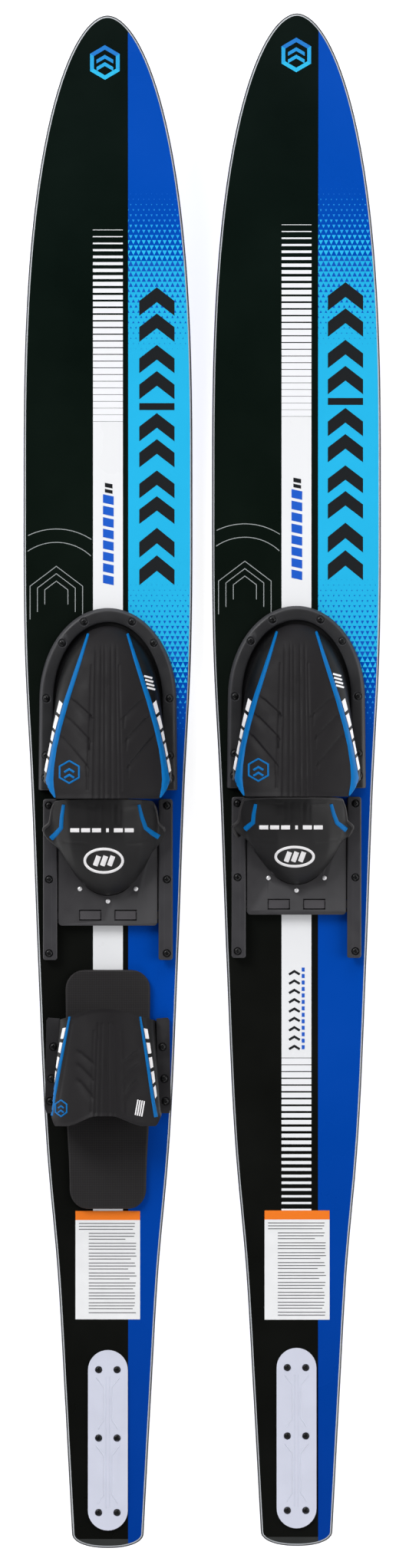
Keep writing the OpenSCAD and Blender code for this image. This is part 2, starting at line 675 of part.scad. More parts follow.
// Strap; t runs 0 at the front hem to 1 at the rear hem
strap_front = -254.5;
strap_rear = -384;
strap_front_h = 46;
strap_rows = 10;
function strap_foot_x(t) = 52.4 + 3 * t;
function strap_pt(t, q, inset) = let (
    shape = arch_shape(q, 2.5), reach = shape[0], rise = shape[1],
    bulge = (3 + 5.5 * t) * sin(180 * min(1, rise)),
    hollow = (1 - t) * 9 * pow(sin(90 * rise), 4) * reach,
    front_y = strap_front - 14 * pow(reach, 2),
    rear_y = strap_rear + 8.5 - 11.5 * ease((reach - 0.15) / 0.57)
      + 15 * ease((reach - 0.86) / 0.14))
  [(strap_foot_x(t) - inset) * reach + bulge - hollow, lerp(front_y, rear_y, t),
   deck_z + (lerp(strap_front_h, rtp_h, t) - inset) * rise];
function strap_skin(inset) = [for (r = [0:strap_rows]) let (
    t = r / strap_rows,
    lip = [strap_foot_x(t) + 5.5, strap_pt(t, 0, 0).y])
  arch_row(lip, strap_pt(t, 0, inset), [for (q = arch_angles()) strap_pt(t, q, inset)],
    inset)];
module rtp_strap() sheet(strap_skin(rubber_t), strap_skin(0));

// Clamp bars, one each side. Columns of the outline: x, y
clamp_h = 6.5;
clamp_seat_z = clamp_h - 1;
clamp_outline = [[54.6, -266], [67.5, -265], [69.5, -268], [71.2, -366], [69.4, -373],
  [57.6, -373]];
module rtp_clamps() {
  for (s = [0, 1]) mirror([s, 0, 0]) translate([0, 0, deck_z]) difference() {
    linear_extrude(clamp_h) polygon(clamp_outline);
    translate([0, 0, -cut]) linear_extrude(rebate_h + cut)
      polygon([[40, -250], [58.6, -250], [61.8, -390], [40, -390]]);
    at_points(rtp_stn) {
      screw_hole();
      flared_seat(clamp_seat_z, floor_gap = 0.4, mouth_gap = 1.2);
    }
  }
}
module rtp_screws() at_points(rtp_stn, deck_z + clamp_seat_z) pan_screw(15);

// ------------------------------------------------------------------ placement
module left() translate([-ski_gap / 2, -ski_lead / 2, 0]) children();
module right() translate([ski_gap / 2, ski_lead / 2, 0]) children();
module right_heel() right() translate([0, heel_lead, 0]) children();
left_stn = concat(front_stn, rtp_stn);

module left_core() color("wheat") left() ski_core(left_stn);
module left_topsheet() color(topsheet_black) left() ski_topsheet(left_stn);
module left_base() color(base_blue) left() ski_base();
module left_inserts() color("goldenrod") left() insert_set(left_stn);
module left_fin() color(fin_black) left() fin();
module left_fin_plate() color(fin_plate_silver) left() fin_plate();
module left_fin_screws() color(fin_screw_black) left() fin_screws();
module left_toe_frame() color(frame_grey) left() toe_frame();
module left_toe_overlay() color(overlay_black) left() toe_overlay();
module left_toe_footbed() color(pad_black) left() toe_footbed();
module left_frame_screws() color(screw_black) left() frame_screws();
module left_rail_inner() color(rail_grey) left() rail();
module left_rail_outer() color(rail_grey) left() mirror([1, 0, 0]) rail();
module left_rail_screws() color(screw_black) left() rail_screws();
module left_heel_tray() color(tray_grey) left() heel_tray();
module left_heel_cover() color(cover_grey) left() heel_cover();
module left_heel_cup() color(cup_black) left() heel_cup(0);
module left_heel_pad() color(pad_black) left() heel_pad();
module left_heel_rivets() color(rivet_silver) left() heel_rivets();
module left_lock_bar() color(bar_grey) left() lock_bar();
module left_lock_springs() color(spring_grey) left() lock_springs();
module left_rtp_footbed() color(overlay_black) left() rtp_footbed();
module left_rtp_strap() color(strap_black) left() rtp_strap();
module left_rtp_clamps() color(rail_grey) left() rtp_clamps();
module left_rtp_screws() color(screw_black) left() rtp_screws();
module right_core() color("wheat") right() ski_core(front_stn);
module right_topsheet() color(topsheet_black) right() ski_topsheet(front_stn);
module right_base() color(base_blue) right() ski_base();
module right_inserts() color("goldenrod") right() insert_set(front_stn);
module right_fin() color(fin_black) right() fin();
module right_fin_plate() color(fin_plate_silver) right() fin_plate();
module right_fin_screws() color(fin_screw_black) right() fin_screws();
module right_toe_frame() color(frame_grey) right() toe_frame();
module right_toe_overlay() color(overlay_black) right() toe_overlay();
module right_toe_footbed() color(pad_black) right() toe_footbed();
module right_frame_screws() color(screw_black) right() frame_screws();
module right_rail_inner() color(rail_grey) right() mirror([1, 0, 0]) rail();
module right_rail_outer() color(rail_grey) right() rail();
module right_rail_screws() color(screw_black) right() rail_screws();
module right_heel_tray() color(tray_grey) right_heel() heel_tray();
module right_heel_cover() color(cover_grey) right_heel() heel_cover();
module right_heel_cup() color(cup_black) right_heel() heel_cup(heel_lead);
module right_heel_pad() color(pad_black) right_heel() heel_pad();
module right_heel_rivets() color(rivet_silver) right_heel() heel_rivets();
module right_lock_bar() color(bar_grey) right_heel() lock_bar();
module right_lock_springs() color(spring_grey) right_heel() lock_springs();

left_core();
left_topsheet();
left_base();
left_inserts();
left_fin();
left_fin_plate();
left_fin_screws();
left_toe_frame();
left_toe_overlay();
left_toe_footbed();
left_frame_screws();
left_rail_inner();
left_rail_outer();
left_rail_screws();
left_heel_tray();
left_heel_cover();
left_heel_cup();
left_heel_pad();
left_heel_rivets();
left_lock_bar();
left_lock_springs();
left_rtp_footbed();
left_rtp_strap();
left_rtp_clamps();
left_rtp_screws();
right_core();
right_topsheet();
right_base();
right_inserts();
right_fin();
right_fin_plate();
right_fin_screws();
right_toe_frame();
right_toe_overlay();
right_toe_footbed();
right_frame_screws();
right_rail_inner();
right_rail_outer();
right_rail_screws();
right_heel_tray();
right_heel_cover();
right_heel_cup();
right_heel_pad();
right_heel_rivets();
right_lock_bar();
right_lock_springs();
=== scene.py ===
"""Looks for a pair of combination water skis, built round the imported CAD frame.

Both skis lie along Y, tips towards +Y, decks up (+Z). Every shape is written in millimetres
in its own ski's frame: x across from the centre line, y along from mid-length, z up from
the underside at mid-ski. Each is then placed by the box of that ski's CAD topsheet.
"""
import math

import bpy
import bmesh
import numpy as np
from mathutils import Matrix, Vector
from mathutils.bvhtree import BVHTree


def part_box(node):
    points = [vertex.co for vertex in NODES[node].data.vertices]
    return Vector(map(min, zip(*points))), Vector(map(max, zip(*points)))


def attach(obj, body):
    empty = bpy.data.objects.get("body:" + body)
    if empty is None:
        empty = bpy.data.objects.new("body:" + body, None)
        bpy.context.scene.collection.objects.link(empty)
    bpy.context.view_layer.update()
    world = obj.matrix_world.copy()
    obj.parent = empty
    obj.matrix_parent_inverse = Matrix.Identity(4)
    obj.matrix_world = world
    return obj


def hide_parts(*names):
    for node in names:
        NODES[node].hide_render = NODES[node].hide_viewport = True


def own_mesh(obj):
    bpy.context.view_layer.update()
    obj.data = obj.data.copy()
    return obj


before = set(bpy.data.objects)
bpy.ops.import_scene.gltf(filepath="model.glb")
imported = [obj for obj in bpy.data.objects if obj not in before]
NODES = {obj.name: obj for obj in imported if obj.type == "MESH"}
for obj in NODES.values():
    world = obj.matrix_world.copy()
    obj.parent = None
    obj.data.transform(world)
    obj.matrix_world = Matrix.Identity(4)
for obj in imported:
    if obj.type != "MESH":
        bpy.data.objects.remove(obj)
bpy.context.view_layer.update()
scene = bpy.context.scene
SIDES = ("left", "right")


def centre(node):
    """Plan centre of a CAD node's box, in mm."""
    lo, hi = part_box(node)
    return np.array([(lo.x + hi.x) * 500, (lo.y + hi.y) * 500, 0.0])


ORIGIN = {side: centre(side + "_topsheet") for side in SIDES}
LEAD = {"left": 0.0, "right": 10.0}  # how far the heel unit is set forward
PRINT_SHIFT = {"left": 0.0, "right": 3.4}  # how far the deck print is set forward

# ------------------------------------------------------------------ shape of the ski
SKI_LENGTH, SKI_WIDTH, DECK_Z = 1727.0, 191.0, 25.0
HALF_LENGTH = SKI_LENGTH / 2
WIDEST_Y = 346.0
# y, half width as a share of the ski's width; from the widest place back to the tail
WIDTHS = [
    (WIDEST_Y, 0.5), (139, 0.4906), (0, 0.4545), (-206, 0.4136),
    (-414, 0.3618), (-552, 0.2984), (-690, 0.2565), (-HALF_LENGTH, 0.2073),
]
STATION_Y = np.array([y for y, _ in WIDTHS], float)
STATION_W = np.array([SKI_WIDTH * share for _, share in WIDTHS], float)


def station_slopes():
    """Slope of the half width at each station, level at the widest place."""
    step = np.diff(STATION_Y)
    chord = np.diff(STATION_W) / step
    slopes = np.zeros(len(WIDTHS))
    slopes[1:-1] = (chord[1:] * step[:-1] + chord[:-1] * step[1:]) / (step[:-1] + step[1:])
    slopes[-1] = chord[-1]
    return slopes


STATION_SLOPE = station_slopes()
TAIL_ROUND = 16.0  # length of the rounded tail end


def half_width(y):
    """Half width of the ski at y, as an array."""
    y = np.atleast_1d(np.asarray(y, float))
    u = np.clip((y - WIDEST_Y) / (HALF_LENGTH - WIDEST_Y), 0, 1)
    front = SKI_WIDTH / 2 * np.maximum(0, 1 - u ** 2.64) ** (1 / 1.895)
    i = np.clip(np.searchsorted(-STATION_Y, -y, side="left") - 1, 0, len(STATION_Y) - 2)
    d = STATION_Y[i + 1] - STATION_Y[i]
    t = (y - STATION_Y[i]) / d
    back = ((2 * t ** 3 - 3 * t ** 2 + 1) * STATION_W[i]
            + (t ** 3 - 2 * t ** 2 + t) * d * STATION_SLOPE[i]
            + (3 * t ** 2 - 2 * t ** 3) * STATION_W[i + 1]
            + (t ** 3 - t ** 2) * d * STATION_SLOPE[i + 1])
    s = np.clip((y + HALF_LENGTH) / TAIL_ROUND, 0, 1)
    back = back * np.maximum(0, 1 - (1 - s) ** 2.2) ** (1 / 2.2)
    return np.where(y > WIDEST_Y, front, back)


def ease(t):
    t = np.clip(t, 0, 1)
    return t * t * (3 - 2 * t)


def smoothstep(a, b, x):
    """0 at a, 1 at b, eased between; a may be the larger."""
    return ease((x - a) / (b - a))


BASE_FRONT_Y, TIP_RISE = 160, 122.0  # where the underside starts to rise, and its rise at the tip
BASE_REAR_Y = -120
TAIL_REF_Y, TAIL_RISE, TAIL_THICK = -752, 33, 11.5  # rise and thickness at a place near the tail
DECK_FRONT_Y, DECK_BLEND, TIP_THICK = 200, 520.0, 9
DECK_REAR_Y, TAIL_BEND = -483, 150  # the rear deck rises on a hyperbola


def underside(y):
    y = np.asarray(y, float)
    tip = TIP_RISE * (np.maximum(y - BASE_FRONT_Y, 0) / (HALF_LENGTH - BASE_FRONT_Y)) ** 2.4
    tail = TAIL_RISE * ((BASE_REAR_Y - y) / (BASE_REAR_Y - TAIL_REF_Y)) ** 2
    return np.where(y > BASE_FRONT_Y, tip, np.where(y < BASE_REAR_Y, tail, 0.0))


TAIL_SLOPE = (TAIL_RISE + TAIL_THICK - DECK_Z) / (
    math.sqrt((DECK_REAR_Y - TAIL_REF_Y) ** 2 + TAIL_BEND ** 2) - TAIL_BEND)


def deck(y):
    y = np.asarray(y, float)
    e = 1 - ease((y - DECK_FRONT_Y) / DECK_BLEND)
    front = (underside(y) + TIP_THICK + (DECK_Z - TIP_THICK) * e
             - float(underside(float(DECK_FRONT_Y))) * e)
    bend = np.sqrt(np.minimum(y - DECK_REAR_Y, 0) ** 2 + TAIL_BEND ** 2) - TAIL_BEND
    back = DECK_Z + TAIL_SLOPE * bend
    return np.where(y > DECK_FRONT_Y, front, np.where(y < DECK_REAR_Y, back, DECK_Z))


# ------------------------------------------------------------------- shader helpers
EDGE_HIGHLIGHT_GREY = (140, 140, 142)  # painted highlight: lighter grey mixed onto sharp convex edges


def linear(rgb):
    """Linear RGBA of an sRGB colour given in 0-255."""
    out = []
    for c in rgb:
        c = c / 255.0
        out.append(c / 12.92 if c <= 0.04045 else ((c + 0.055) / 1.055) ** 2.4)
    return tuple(out) + (1.0,)


def feed(tree, socket, source):
    """Links a socket to a socket, or sets it to a plain value."""
    if isinstance(source, bpy.types.NodeSocket):
        tree.links.new(source, socket)
    else:
        socket.default_value = source


def map_range(tree, value, low, high, to_low=0.0, to_high=1.0):
    node = tree.nodes.new("ShaderNodeMapRange")
    node.inputs["From Min"].default_value = low
    node.inputs["From Max"].default_value = high
    node.inputs["To Min"].default_value = to_low
    node.inputs["To Max"].default_value = to_high
    tree.links.new(value, node.inputs["Value"])
    return node.outputs["Result"]


def mix_colour(tree, factor, a, b, blend="MIX"):
    node = tree.nodes.new("ShaderNodeMix")
    node.data_type = "RGBA"
    node.blend_type = blend
    feed(tree, node.inputs["Factor"], factor)
    feed(tree, node.inputs["A"], a)
    feed(tree, node.inputs["B"], b)
    return node.outputs["Result"]


def math_node(tree, operation, a, b=None):
    node = tree.nodes.new("ShaderNodeMath")
    node.operation = operation
    feed(tree, node.inputs[0], a)
    if b is not None:
        feed(tree, node.inputs[1], b)
    return node.outputs[0]


def noise(tree, vector, scale, detail):
    node = tree.nodes.new("ShaderNodeTexNoise")
    node.inputs["Scale"].default_value = scale
    node.inputs["Detail"].default_value = detail
    tree.links.new(vector, node.inputs["Vector"])
    return node.outputs["Fac"]


def split_xyz(tree, vector):
    node = tree.nodes.new("ShaderNodeSeparateXYZ")
    tree.links.new(vector, node.inputs[0])
    return node.outputs


def flat_material(name, rgb, rough, spec=0.5, metal=0.0):
    """Even colour, used as it is for inks."""
    mat = bpy.data.materials.new(name)
    mat.use_nodes = True
    shader = mat.node_tree.nodes["Principled BSDF"]
    shader.inputs["Base Color"].default_value = linear(rgb)
    shader.inputs["Roughness"].default_value = rough
    shader.inputs["Metallic"].default_value = metal
    shader.inputs["Specular IOR Level"].default_value = spec
    shader.inputs["Coat Roughness"].default_value = 0.08
    return mat


def material(name, rgb, rough, tone_scale, spec=0.5, metal=0.0, tone=0.06, rough_var=0.08,
             bump=0.0, bump_scale=None, edge_highlight=0.0, top=None, ramp=None, stretch=None):
    """Material mottled by noise.
    tone and rough_var: spread of colour and roughness; bump: depth of the fine grain;
    edge_highlight: strength of a painted highlight, lighter grey on sharp convex edges;
    top: painted shade, a darker colour for faces that look up so the sides read as lit;
    ramp: colours along y, [(y mm, rgb), ...]; stretch: scale of the noise space."""
    mat = flat_material(name, rgb, rough, spec, metal)
    tree = mat.node_tree
    shader = tree.nodes["Principled BSDF"]
    place = tree.nodes.new("ShaderNodeTexCoord").outputs["Object"]
    vector = place
    if stretch:
        mapping = tree.nodes.new("ShaderNodeMapping")
        mapping.inputs["Scale"].default_value = stretch
        tree.links.new(place, mapping.inputs["Vector"])
        vector = mapping.outputs["Vector"]
    mottle = noise(tree, vector, tone_scale, 5.0)
    colour = linear(rgb)
    if ramp:
        y0, y1 = ramp[0][0] / 1000, ramp[-1][0] / 1000
        along = map_range(tree, split_xyz(tree, place)["Y"], y0, y1)
        node = tree.nodes.new("ShaderNodeValToRGB")
        stops = node.color_ramp.elements
        while len(stops) < len(ramp):
            stops.new(0.5)
        for stop, (y, stop_rgb) in zip(stops, ramp):
            stop.position = (y / 1000 - y0) / (y1 - y0)
            stop.color = linear(stop_rgb)
        tree.links.new(along, node.inputs["Fac"])
        colour = node.outputs["Color"]
    # Painted shade: faces that look up take the darker top colour, so the top reads as in shade
    # and the sides as lit.
    if top is not None:
        normal = tree.nodes.new("ShaderNodeNewGeometry").outputs["Normal"]
        painted_top_shade = map_range(tree, split_xyz(tree, normal)["Z"], 0.8, 0.97)
        colour = mix_colour(tree, painted_top_shade, colour, linear(top))
    colour = mix_colour(tree, 1.0, colour, map_range(tree, mottle, 0.3, 0.7, 1 - tone, 1 + tone),
                        "MULTIPLY")
    # Painted highlight: sharp convex edges are mixed towards a lighter grey, as if they caught
    # the light.
    if edge_highlight:
        pointed = tree.nodes.new("ShaderNodeNewGeometry").outputs["Pointiness"]
        painted_highlight_mask = math_node(tree, "MULTIPLY", map_range(tree, pointed, 0.53, 0.6), edge_highlight)
        colour = mix_colour(tree, painted_highlight_mask, colour, linear(EDGE_HIGHLIGHT_GREY))
    tree.links.new(colour, shader.inputs["Base Color"])
    spread = map_range(tree, mottle, 0.3, 0.7, max(0.02, rough - rough_var),
                       min(1.0, rough + rough_var))
    tree.links.new(spread, shader.inputs["Roughness"])
    if bump:
        grain = noise(tree, vector, bump_scale, 3.0)
        node = tree.nodes.new("ShaderNodeBump")
        node.inputs["Strength"].default_value = bump
        node.inputs["Distance"].default_value = 0.0002
        tree.links.new(grain, node.inputs["Height"])
        tree.links.new(node.outputs["Normal"], shader.inputs["Normal"])
    return mat


# ---------------------------------------------------------------- mesh helpers
def shade(mesh, sharp):
    mesh.polygons.foreach_set("use_smooth", [True] * len(mesh.polygons))
    mesh.set_sharp_from_angle(angle=math.radians(sharp))


def make(part, points, faces, mats, side, unit="ski", slots=None, sharp=38.0, merge=2e-6,
         tidy=True):
    """Mesh object from points in a ski's frame, riding on that side's ski or heel unit.
    slots: material slot of each face; sharp: crease angle; tidy: merge and turn faces out."""
    lead = LEAD[side] if unit == "heel" else 0.0
    points = (np.asarray(points, float) + ORIGIN[side] + np.array([0, lead, 0])) * 0.001
    name = side + "_" + part
    mesh = bpy.data.meshes.new(name)
    mesh.from_pydata(points.tolist(), [], [tuple(int(i) for i in face) for face in faces])
    for mat in mats if isinstance(mats, (list, tuple)) else [mats]:
        mesh.materials.append(mat)
    if slots is not None:
        mesh.polygons.foreach_set("material_index", np.asarray(slots, np.int32))
    if tidy:
        bm = bmesh.new()
        bm.from_mesh(mesh)
        bmesh.ops.remove_doubles(bm, verts=bm.verts, dist=merge)
        if any(face.calc_area() < 1e-13 for face in bm.faces):
            bmesh.ops.dissolve_degenerate(bm, dist=1e-6, edges=bm.edges)
        bmesh.ops.recalc_face_normals(bm, faces=bm.faces)
        bm.to_mesh(mesh)
        bm.free()
    shade(mesh, sharp)
    mesh.update()
    obj = bpy.data.objects.new(name, mesh)
    scene.collection.objects.link(obj)
    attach(obj, side + "_" + unit)
    return obj


def grid_faces(rows, cols, base=0, flip=False):
    r, c = np.meshgrid(np.arange(rows - 1), np.arange(cols - 1), indexing="ij")
    a = base + r * cols + c
    quads = np.stack([a, a + 1, a + cols + 1, a + cols], -1).reshape(-1, 4)
    return quads[:, ::-1] if flip else quads


def grid_edge(rows, cols, base=0):
    """Point numbers round the edge of a grid."""
    cells = ([(0, c) for c in range(cols)] + [(r, cols - 1) for r in range(1, rows)]
             + [(rows - 1, c) for c in range(cols - 2, -1, -1)]
             + [(r, 0) for r in range(rows - 2, 0, -1)])
    return [base + r * cols + c for r, c in cells]


def shell(outer, inner):
    """Closed sheet from two equal grids of points."""
    rows, cols = outer.shape[:2]
    n = rows * cols
    points = np.concatenate([outer.reshape(-1, 3), inner.reshape(-1, 3)])
    edge = grid_edge(rows, cols)
    wall = [[a, b, n + b, n + a] for a, b in zip(edge, edge[1:] + edge[:1])]
    return points, np.concatenate([grid_faces(rows, cols), grid_faces(rows, cols, n, True),
                                   np.array(wall)])


def shell_coarse(outer, inner, k):
    """Sheet whose inner grid is k times coarser; the last row is left unwalled,
    since it folds on itself."""
    rows, cols = outer.shape[:2]
    coarse = inner[::k, ::k]
    rows_in, cols_in = coarse.shape[:2]
    n = rows * cols
    points = np.concatenate([outer.reshape(-1, 3), coarse.reshape(-1, 3)])
    faces = [tuple(q) for q in grid_faces(rows, cols)]
    faces += [tuple(q) for q in grid_faces(rows_in, cols_in, n, True)]
    fine = grid_edge(rows, cols)
    edge = grid_edge(rows_in, cols_in, n)
    for i in range(len(edge)):
        if rows_in + cols_in - 2 <= i < rows_in + 2 * cols_in - 3:
            continue
        run = [fine[(i * k + j) % len(fine)] for j in range(k + 1)]
        faces.append(tuple(run + [edge[(i + 1) % len(edge)], edge[i]]))
    return points, faces


def loft(rings):
    """Closed solid through loops of equal length."""
    n = len(rings[0])
    points = np.concatenate([np.asarray(ring, float) for ring in rings])
    faces = []
    for k in range(len(rings) - 1):
        for i in range(n):
            j = (i + 1) % n
            faces.append((k * n + i, k * n + j, (k + 1) * n + j, (k + 1) * n + i))
    faces.append(tuple(range(n - 1, -1, -1)))
    faces.append(tuple(range((len(rings) - 1) * n, len(rings) * n)))
    return points, faces


def rounded_rect(x0, y0, x1, y1, r, n):
    """Counter-clockwise loop with n points on each corner."""
    out = []
    corners = ((x1 - r, y1 - r, 0), (x0 + r, y1 - r, 90),
               (x0 + r, y0 + r, 180), (x1 - r, y0 + r, 270))
    for cx, cy, start in corners:
        for k in range(n):
            a = math.radians(start + 90 * k / (n - 1))
            out.append((cx + r * math.cos(a), cy + r * math.sin(a)))
    return np.array(out)


def inset(loop, distance):
    """Counter-clockwise loop moved inwards."""
    edge = np.roll(loop, -1, 0) - loop
    edge = edge / np.maximum(np.linalg.norm(edge, axis=1, keepdims=True), 1e-9)
    normal = np.stack([-edge[:, 1], edge[:, 0]], -1)
    both = normal + np.roll(normal, 1, 0)
    k = np.maximum((both * both).sum(1, keepdims=True) / 2, 0.35)
    return loop + distance * both / k


def block(loop, profile):
    """Solid over a loop; profile is [(inset, z), ...] from bottom to top."""
    return loft([np.column_stack([inset(loop, d), np.full(len(loop), z)]) for d, z in profile])


def cylinder(x, y, r, z0, z1, r_top=None, n=40):
    a = np.linspace(0, 2 * math.pi, n, endpoint=False)
    rings = []
    for radius, z in ((r, z0), (r if r_top is None else r_top, z1)):
        rings.append(np.column_stack([x + radius * np.cos(a), y + radius * np.sin(a),
                                      np.full(n, z)]))
    return loft(rings)


def join(parts):
    """Several (points, faces) as one."""
    points, faces, k = [], [], 0
    for part_points, part_faces in parts:
        points.append(np.asarray(part_points, float))
        faces += [tuple(int(i) + k for i in face) for face in part_faces]
        k += len(part_points)
    return np.concatenate(points), faces


def combine(obj, points, faces, operation):
    """Applies a boolean with a throwaway mesh given in scene millimetres."""
    mesh = bpy.data.meshes.new("cutter")
    mesh.from_pydata((points * 0.001).tolist(), [], [tuple(int(i) for i in q) for q in faces])
    bm = bmesh.new()
    bm.from_mesh(mesh)
    bmesh.ops.recalc_face_normals(bm, faces=bm.faces)
    bm.to_mesh(mesh)
    bm.free()
    cutter = bpy.data.objects.new("cutter", mesh)
    scene.collection.objects.link(cutter)
    boolean = obj.modifiers.new("b", "BOOLEAN")
    boolean.operation = operation
    boolean.object = cutter
    boolean.solver = "EXACT"
    bpy.context.view_layer.update()
    graph = bpy.context.evaluated_depsgraph_get()
    result = bpy.data.meshes.new_from_object(obj.evaluated_get(graph))
    obj.modifiers.clear()
    old = obj.data
    obj.data = result
    bpy.data.meshes.remove(old)
    bpy.data.objects.remove(cutter)
    bpy.data.meshes.remove(mesh)
    bm = bmesh.new()
    bm.from_mesh(result)
    bmesh.ops.remove_doubles(bm, verts=bm.verts, dist=2e-6)
    bm.to_mesh(result)
    bm.free()
    shade(result, 38)


# ---------------------------------------------------------- things laid on a surface
def on_deck(x, y):
    """Points and normals of the deck."""
    h = 0.5
    z = deck(y)
    slope = (deck(y + h) - deck(y - h)) / (2 * h)
    normal = np.column_stack([np.zeros_like(slope), -slope, np.ones_like(slope)])
    normal /= np.linalg.norm(normal, axis=1, keepdims=True)
    return np.column_stack([x, y, z]), normal


def on_skin(grid):
    """Function that gives points and normals of a grid of points seen from above."""
    tree = BVHTree.FromPolygons([Vector(p) for p in grid.reshape(-1, 3)],
                                [tuple(int(i) for i in q) for q in grid_faces(*grid.shape[:2])])

    def look_down(x, y):
        points, normals = [], []
        last_z = DECK_Z
        for px, py in zip(x, y):
            start = Vector((float(px), float(py), 400.0))
            hit, normal, _, _ = tree.ray_cast(start, Vector((0, 0, -1)))
            if hit is None:
                hit, normal, _, _ = tree.find_nearest(Vector((float(px), float(py), last_z)))
            if normal.z < 0:
                normal = -normal
            last_z = hit.z
            points.append(hit[:])
            normals.append(normal[:])
        return np.array(points), np.array(normals)
    return look_down


def resample(path, step):
    """Path with each leg cut into equal pieces no longer than step in plan."""
    out = [path[0]]
    for a, b in zip(path[:-1], path[1:]):
        n = max(1, int(math.ceil(np.linalg.norm(b[:2] - a[:2]) / step)))
        for k in range(1, n + 1):
            out.append(a + (b - a) * k / n)
    return np.array(out)


def strip(path, width, at, lift, sink, across=7, crown=2.2, step=1.2):
    """Closed band along a plan path laid on a surface; width is one number or one per point.
    across: points over the width; crown: roundness of the top, 0 for flat."""
    path = np.asarray(path, float)
    width = np.full(len(path), float(width)) if np.isscalar(width) else np.asarray(width, float)
    fine = resample(np.column_stack([path, width]), step)
    path, width = fine[:, :2], fine[:, 2]
    edge = np.diff(path, axis=0)
    edge /= np.maximum(np.linalg.norm(edge, axis=1, keepdims=True), 1e-9)
    # mitred corners
    along = np.vstack([edge[:1], edge[:-1] + edge[1:], edge[-1:]])
    size = np.linalg.norm(along, axis=1, keepdims=True)
    along = along / np.maximum(size, 1e-9)
    mitre = np.ones(len(path))
    mitre[1:-1] = 1 / np.maximum(size[1:-1, 0] / 2, 0.6)
    sideways = np.column_stack([-along[:, 1], along[:, 0]]) * mitre[:, None]
    s = np.linspace(-1, 1, across)
    plan = (path[:, None, :]
            + sideways[:, None, :] * (s[None, :, None] * width[:, None, None] / 2))
    points, normals = at(plan[..., 0].ravel(), plan[..., 1].ravel())
    points = points.reshape(len(path), across, 3)
    normals = normals.reshape(len(path), across, 3)
    height = np.full(across, lift)
    if crown:
        height = lift * np.maximum(0, 1 - np.abs(s) ** (crown * 2)) ** (1 / crown)
    return shell(points + normals * height[None, :, None], points - normals * sink)


def patch(polygon, lift=0.12, sink=0.3):
    """Thin closed decal over a simple polygon laid on the deck."""
    polygon = np.asarray(polygon, float)
    n = len(polygon)
    points, normals = on_deck(polygon[:, 0], polygon[:, 1])
    faces = [tuple(range(n)), tuple(range(2 * n - 1, n - 1, -1))]
    for i in range(n):
        j = (i + 1) % n
        faces.append((i, n + i, n + j, j))
    return np.concatenate([points + normals * lift, points - normals * sink]), faces


# ------------------------------------------------------------- materials of the ski
def sheet(name, rgb, spec, tone, tone_scale=9, bump=0.04, ramp=None):
    """Glossy topsheet colour."""
    return material(name, rgb, rough=0.3, spec=spec, tone=tone, tone_scale=tone_scale,
                    rough_var=0.05, bump=bump, bump_scale=900, ramp=ramp)


SHEET_BLACK = sheet("topsheet_black", (13, 20, 17), spec=0.1, tone=0.16, bump=0.05,
                    ramp=[(-865, (13, 14, 12)), (-200, (15, 16, 14)), (300, (9, 18, 13)),
                          (860, (7, 19, 15))])
SHEET_WHITE = sheet("topsheet_white", (232, 233, 235), spec=0.3, tone=0.015, tone_scale=12)
SHEET_BLUE = sheet("topsheet_blue", (1, 75, 180), spec=0.12, tone=0.03,
                   ramp=[(-865, (0, 55, 143)), (-500, (0, 63, 158)), (-100, (0, 70, 170)),
                         (860, (0, 74, 178))])
SHEET_CYAN = sheet("topsheet_cyan", (36, 176, 224), spec=0.2, tone=0.025)
# Painted highlight: light grey band on the deck's rounded outer edge, standing in for the bevel
# catching the light.
SHEET_EDGE_HIGHLIGHT = material("topsheet_edge_highlight", (176, 180, 184), rough=0.4, spec=0.4, tone=0.08,
                      tone_scale=40, rough_var=0.1, bump=0.1, bump_scale=1200)
SIDEWALL = material("sidewall", (24, 25, 27), rough=0.5, spec=0.35, tone=0.12, tone_scale=30,
                    bump=0.2, bump_scale=900)
TAIL_GREY = material("tail_band", (44, 46, 45), rough=0.45, spec=0.3, tone=0.08, tone_scale=30,
                     bump=0.1, bump_scale=1200)
BASE_BLUE = material("running_base", (1, 70, 172), rough=0.35, spec=0.35, tone=0.08,
                     tone_scale=14, rough_var=0.1, bump=0.12, bump_scale=500,
                     stretch=(1, 0.02, 1))
DOT_TONES = [flat_material("dot_%d" % i, rgb, rough=0.32) for i, rgb in enumerate(
    ((22, 112, 208), (28, 140, 220), (34, 165, 228), (40, 185, 234)))]
DOT_DARK = flat_material("dot_dark", (4, 82, 184), rough=0.32)
INK_BLACK = flat_material("ink_black", (20, 23, 26), rough=0.34)
INK_WHITE = flat_material("ink_white", (232, 233, 235), rough=0.34)
INK_BLUE = flat_material("ink_blue", (22, 88, 196), rough=0.34)
INK_GREY = flat_material("ink_grey", (150, 155, 155), rough=0.4)
INK_LADDER = flat_material("ink_ladder", (236, 237, 240), rough=0.34)
BADGE_TONES = [flat_material("badge_%d" % i, rgb, rough=0.32) for i, rgb in enumerate(
    ((18, 120, 205), (26, 145, 218), (33, 168, 228), (40, 188, 235)))]
LABEL_PANEL = material("label_panel", (232, 233, 234), rough=0.5, tone=0.02, tone_scale=60,
                       rough_var=0.05)
LABEL_ORANGE = flat_material("label_band", (239, 119, 5), rough=0.5)
LABEL_LINES = flat_material("label_lines", (96, 97, 99), rough=0.6)

# ------------------------------------------------------------------- ski body
SPLIT_X = {"left": 22.9, "right": 24.4}  # black ground on the -x side, blue on the +x side
STRIPE_HALF = 16.85
STRIPE_ENDS = {"left": (-241.06, 408.5), "right": (-312.77, 411.87)}  # rear and front y
TAIL_BAND_Y = -851.9
DOT_PITCH_X, DOT_PITCH_Y = 5.89, 5.99
# halftone zones: y where the first spots start, y that sets the middle, y of the last row
UPPER_ZONE = (676.51, 501.98, 476.06)
LOWER_ZONE = (235.87, 38.88, 38.88)
BAND_RISE = 4.2  # height over the underside where topsheet shell and base meet


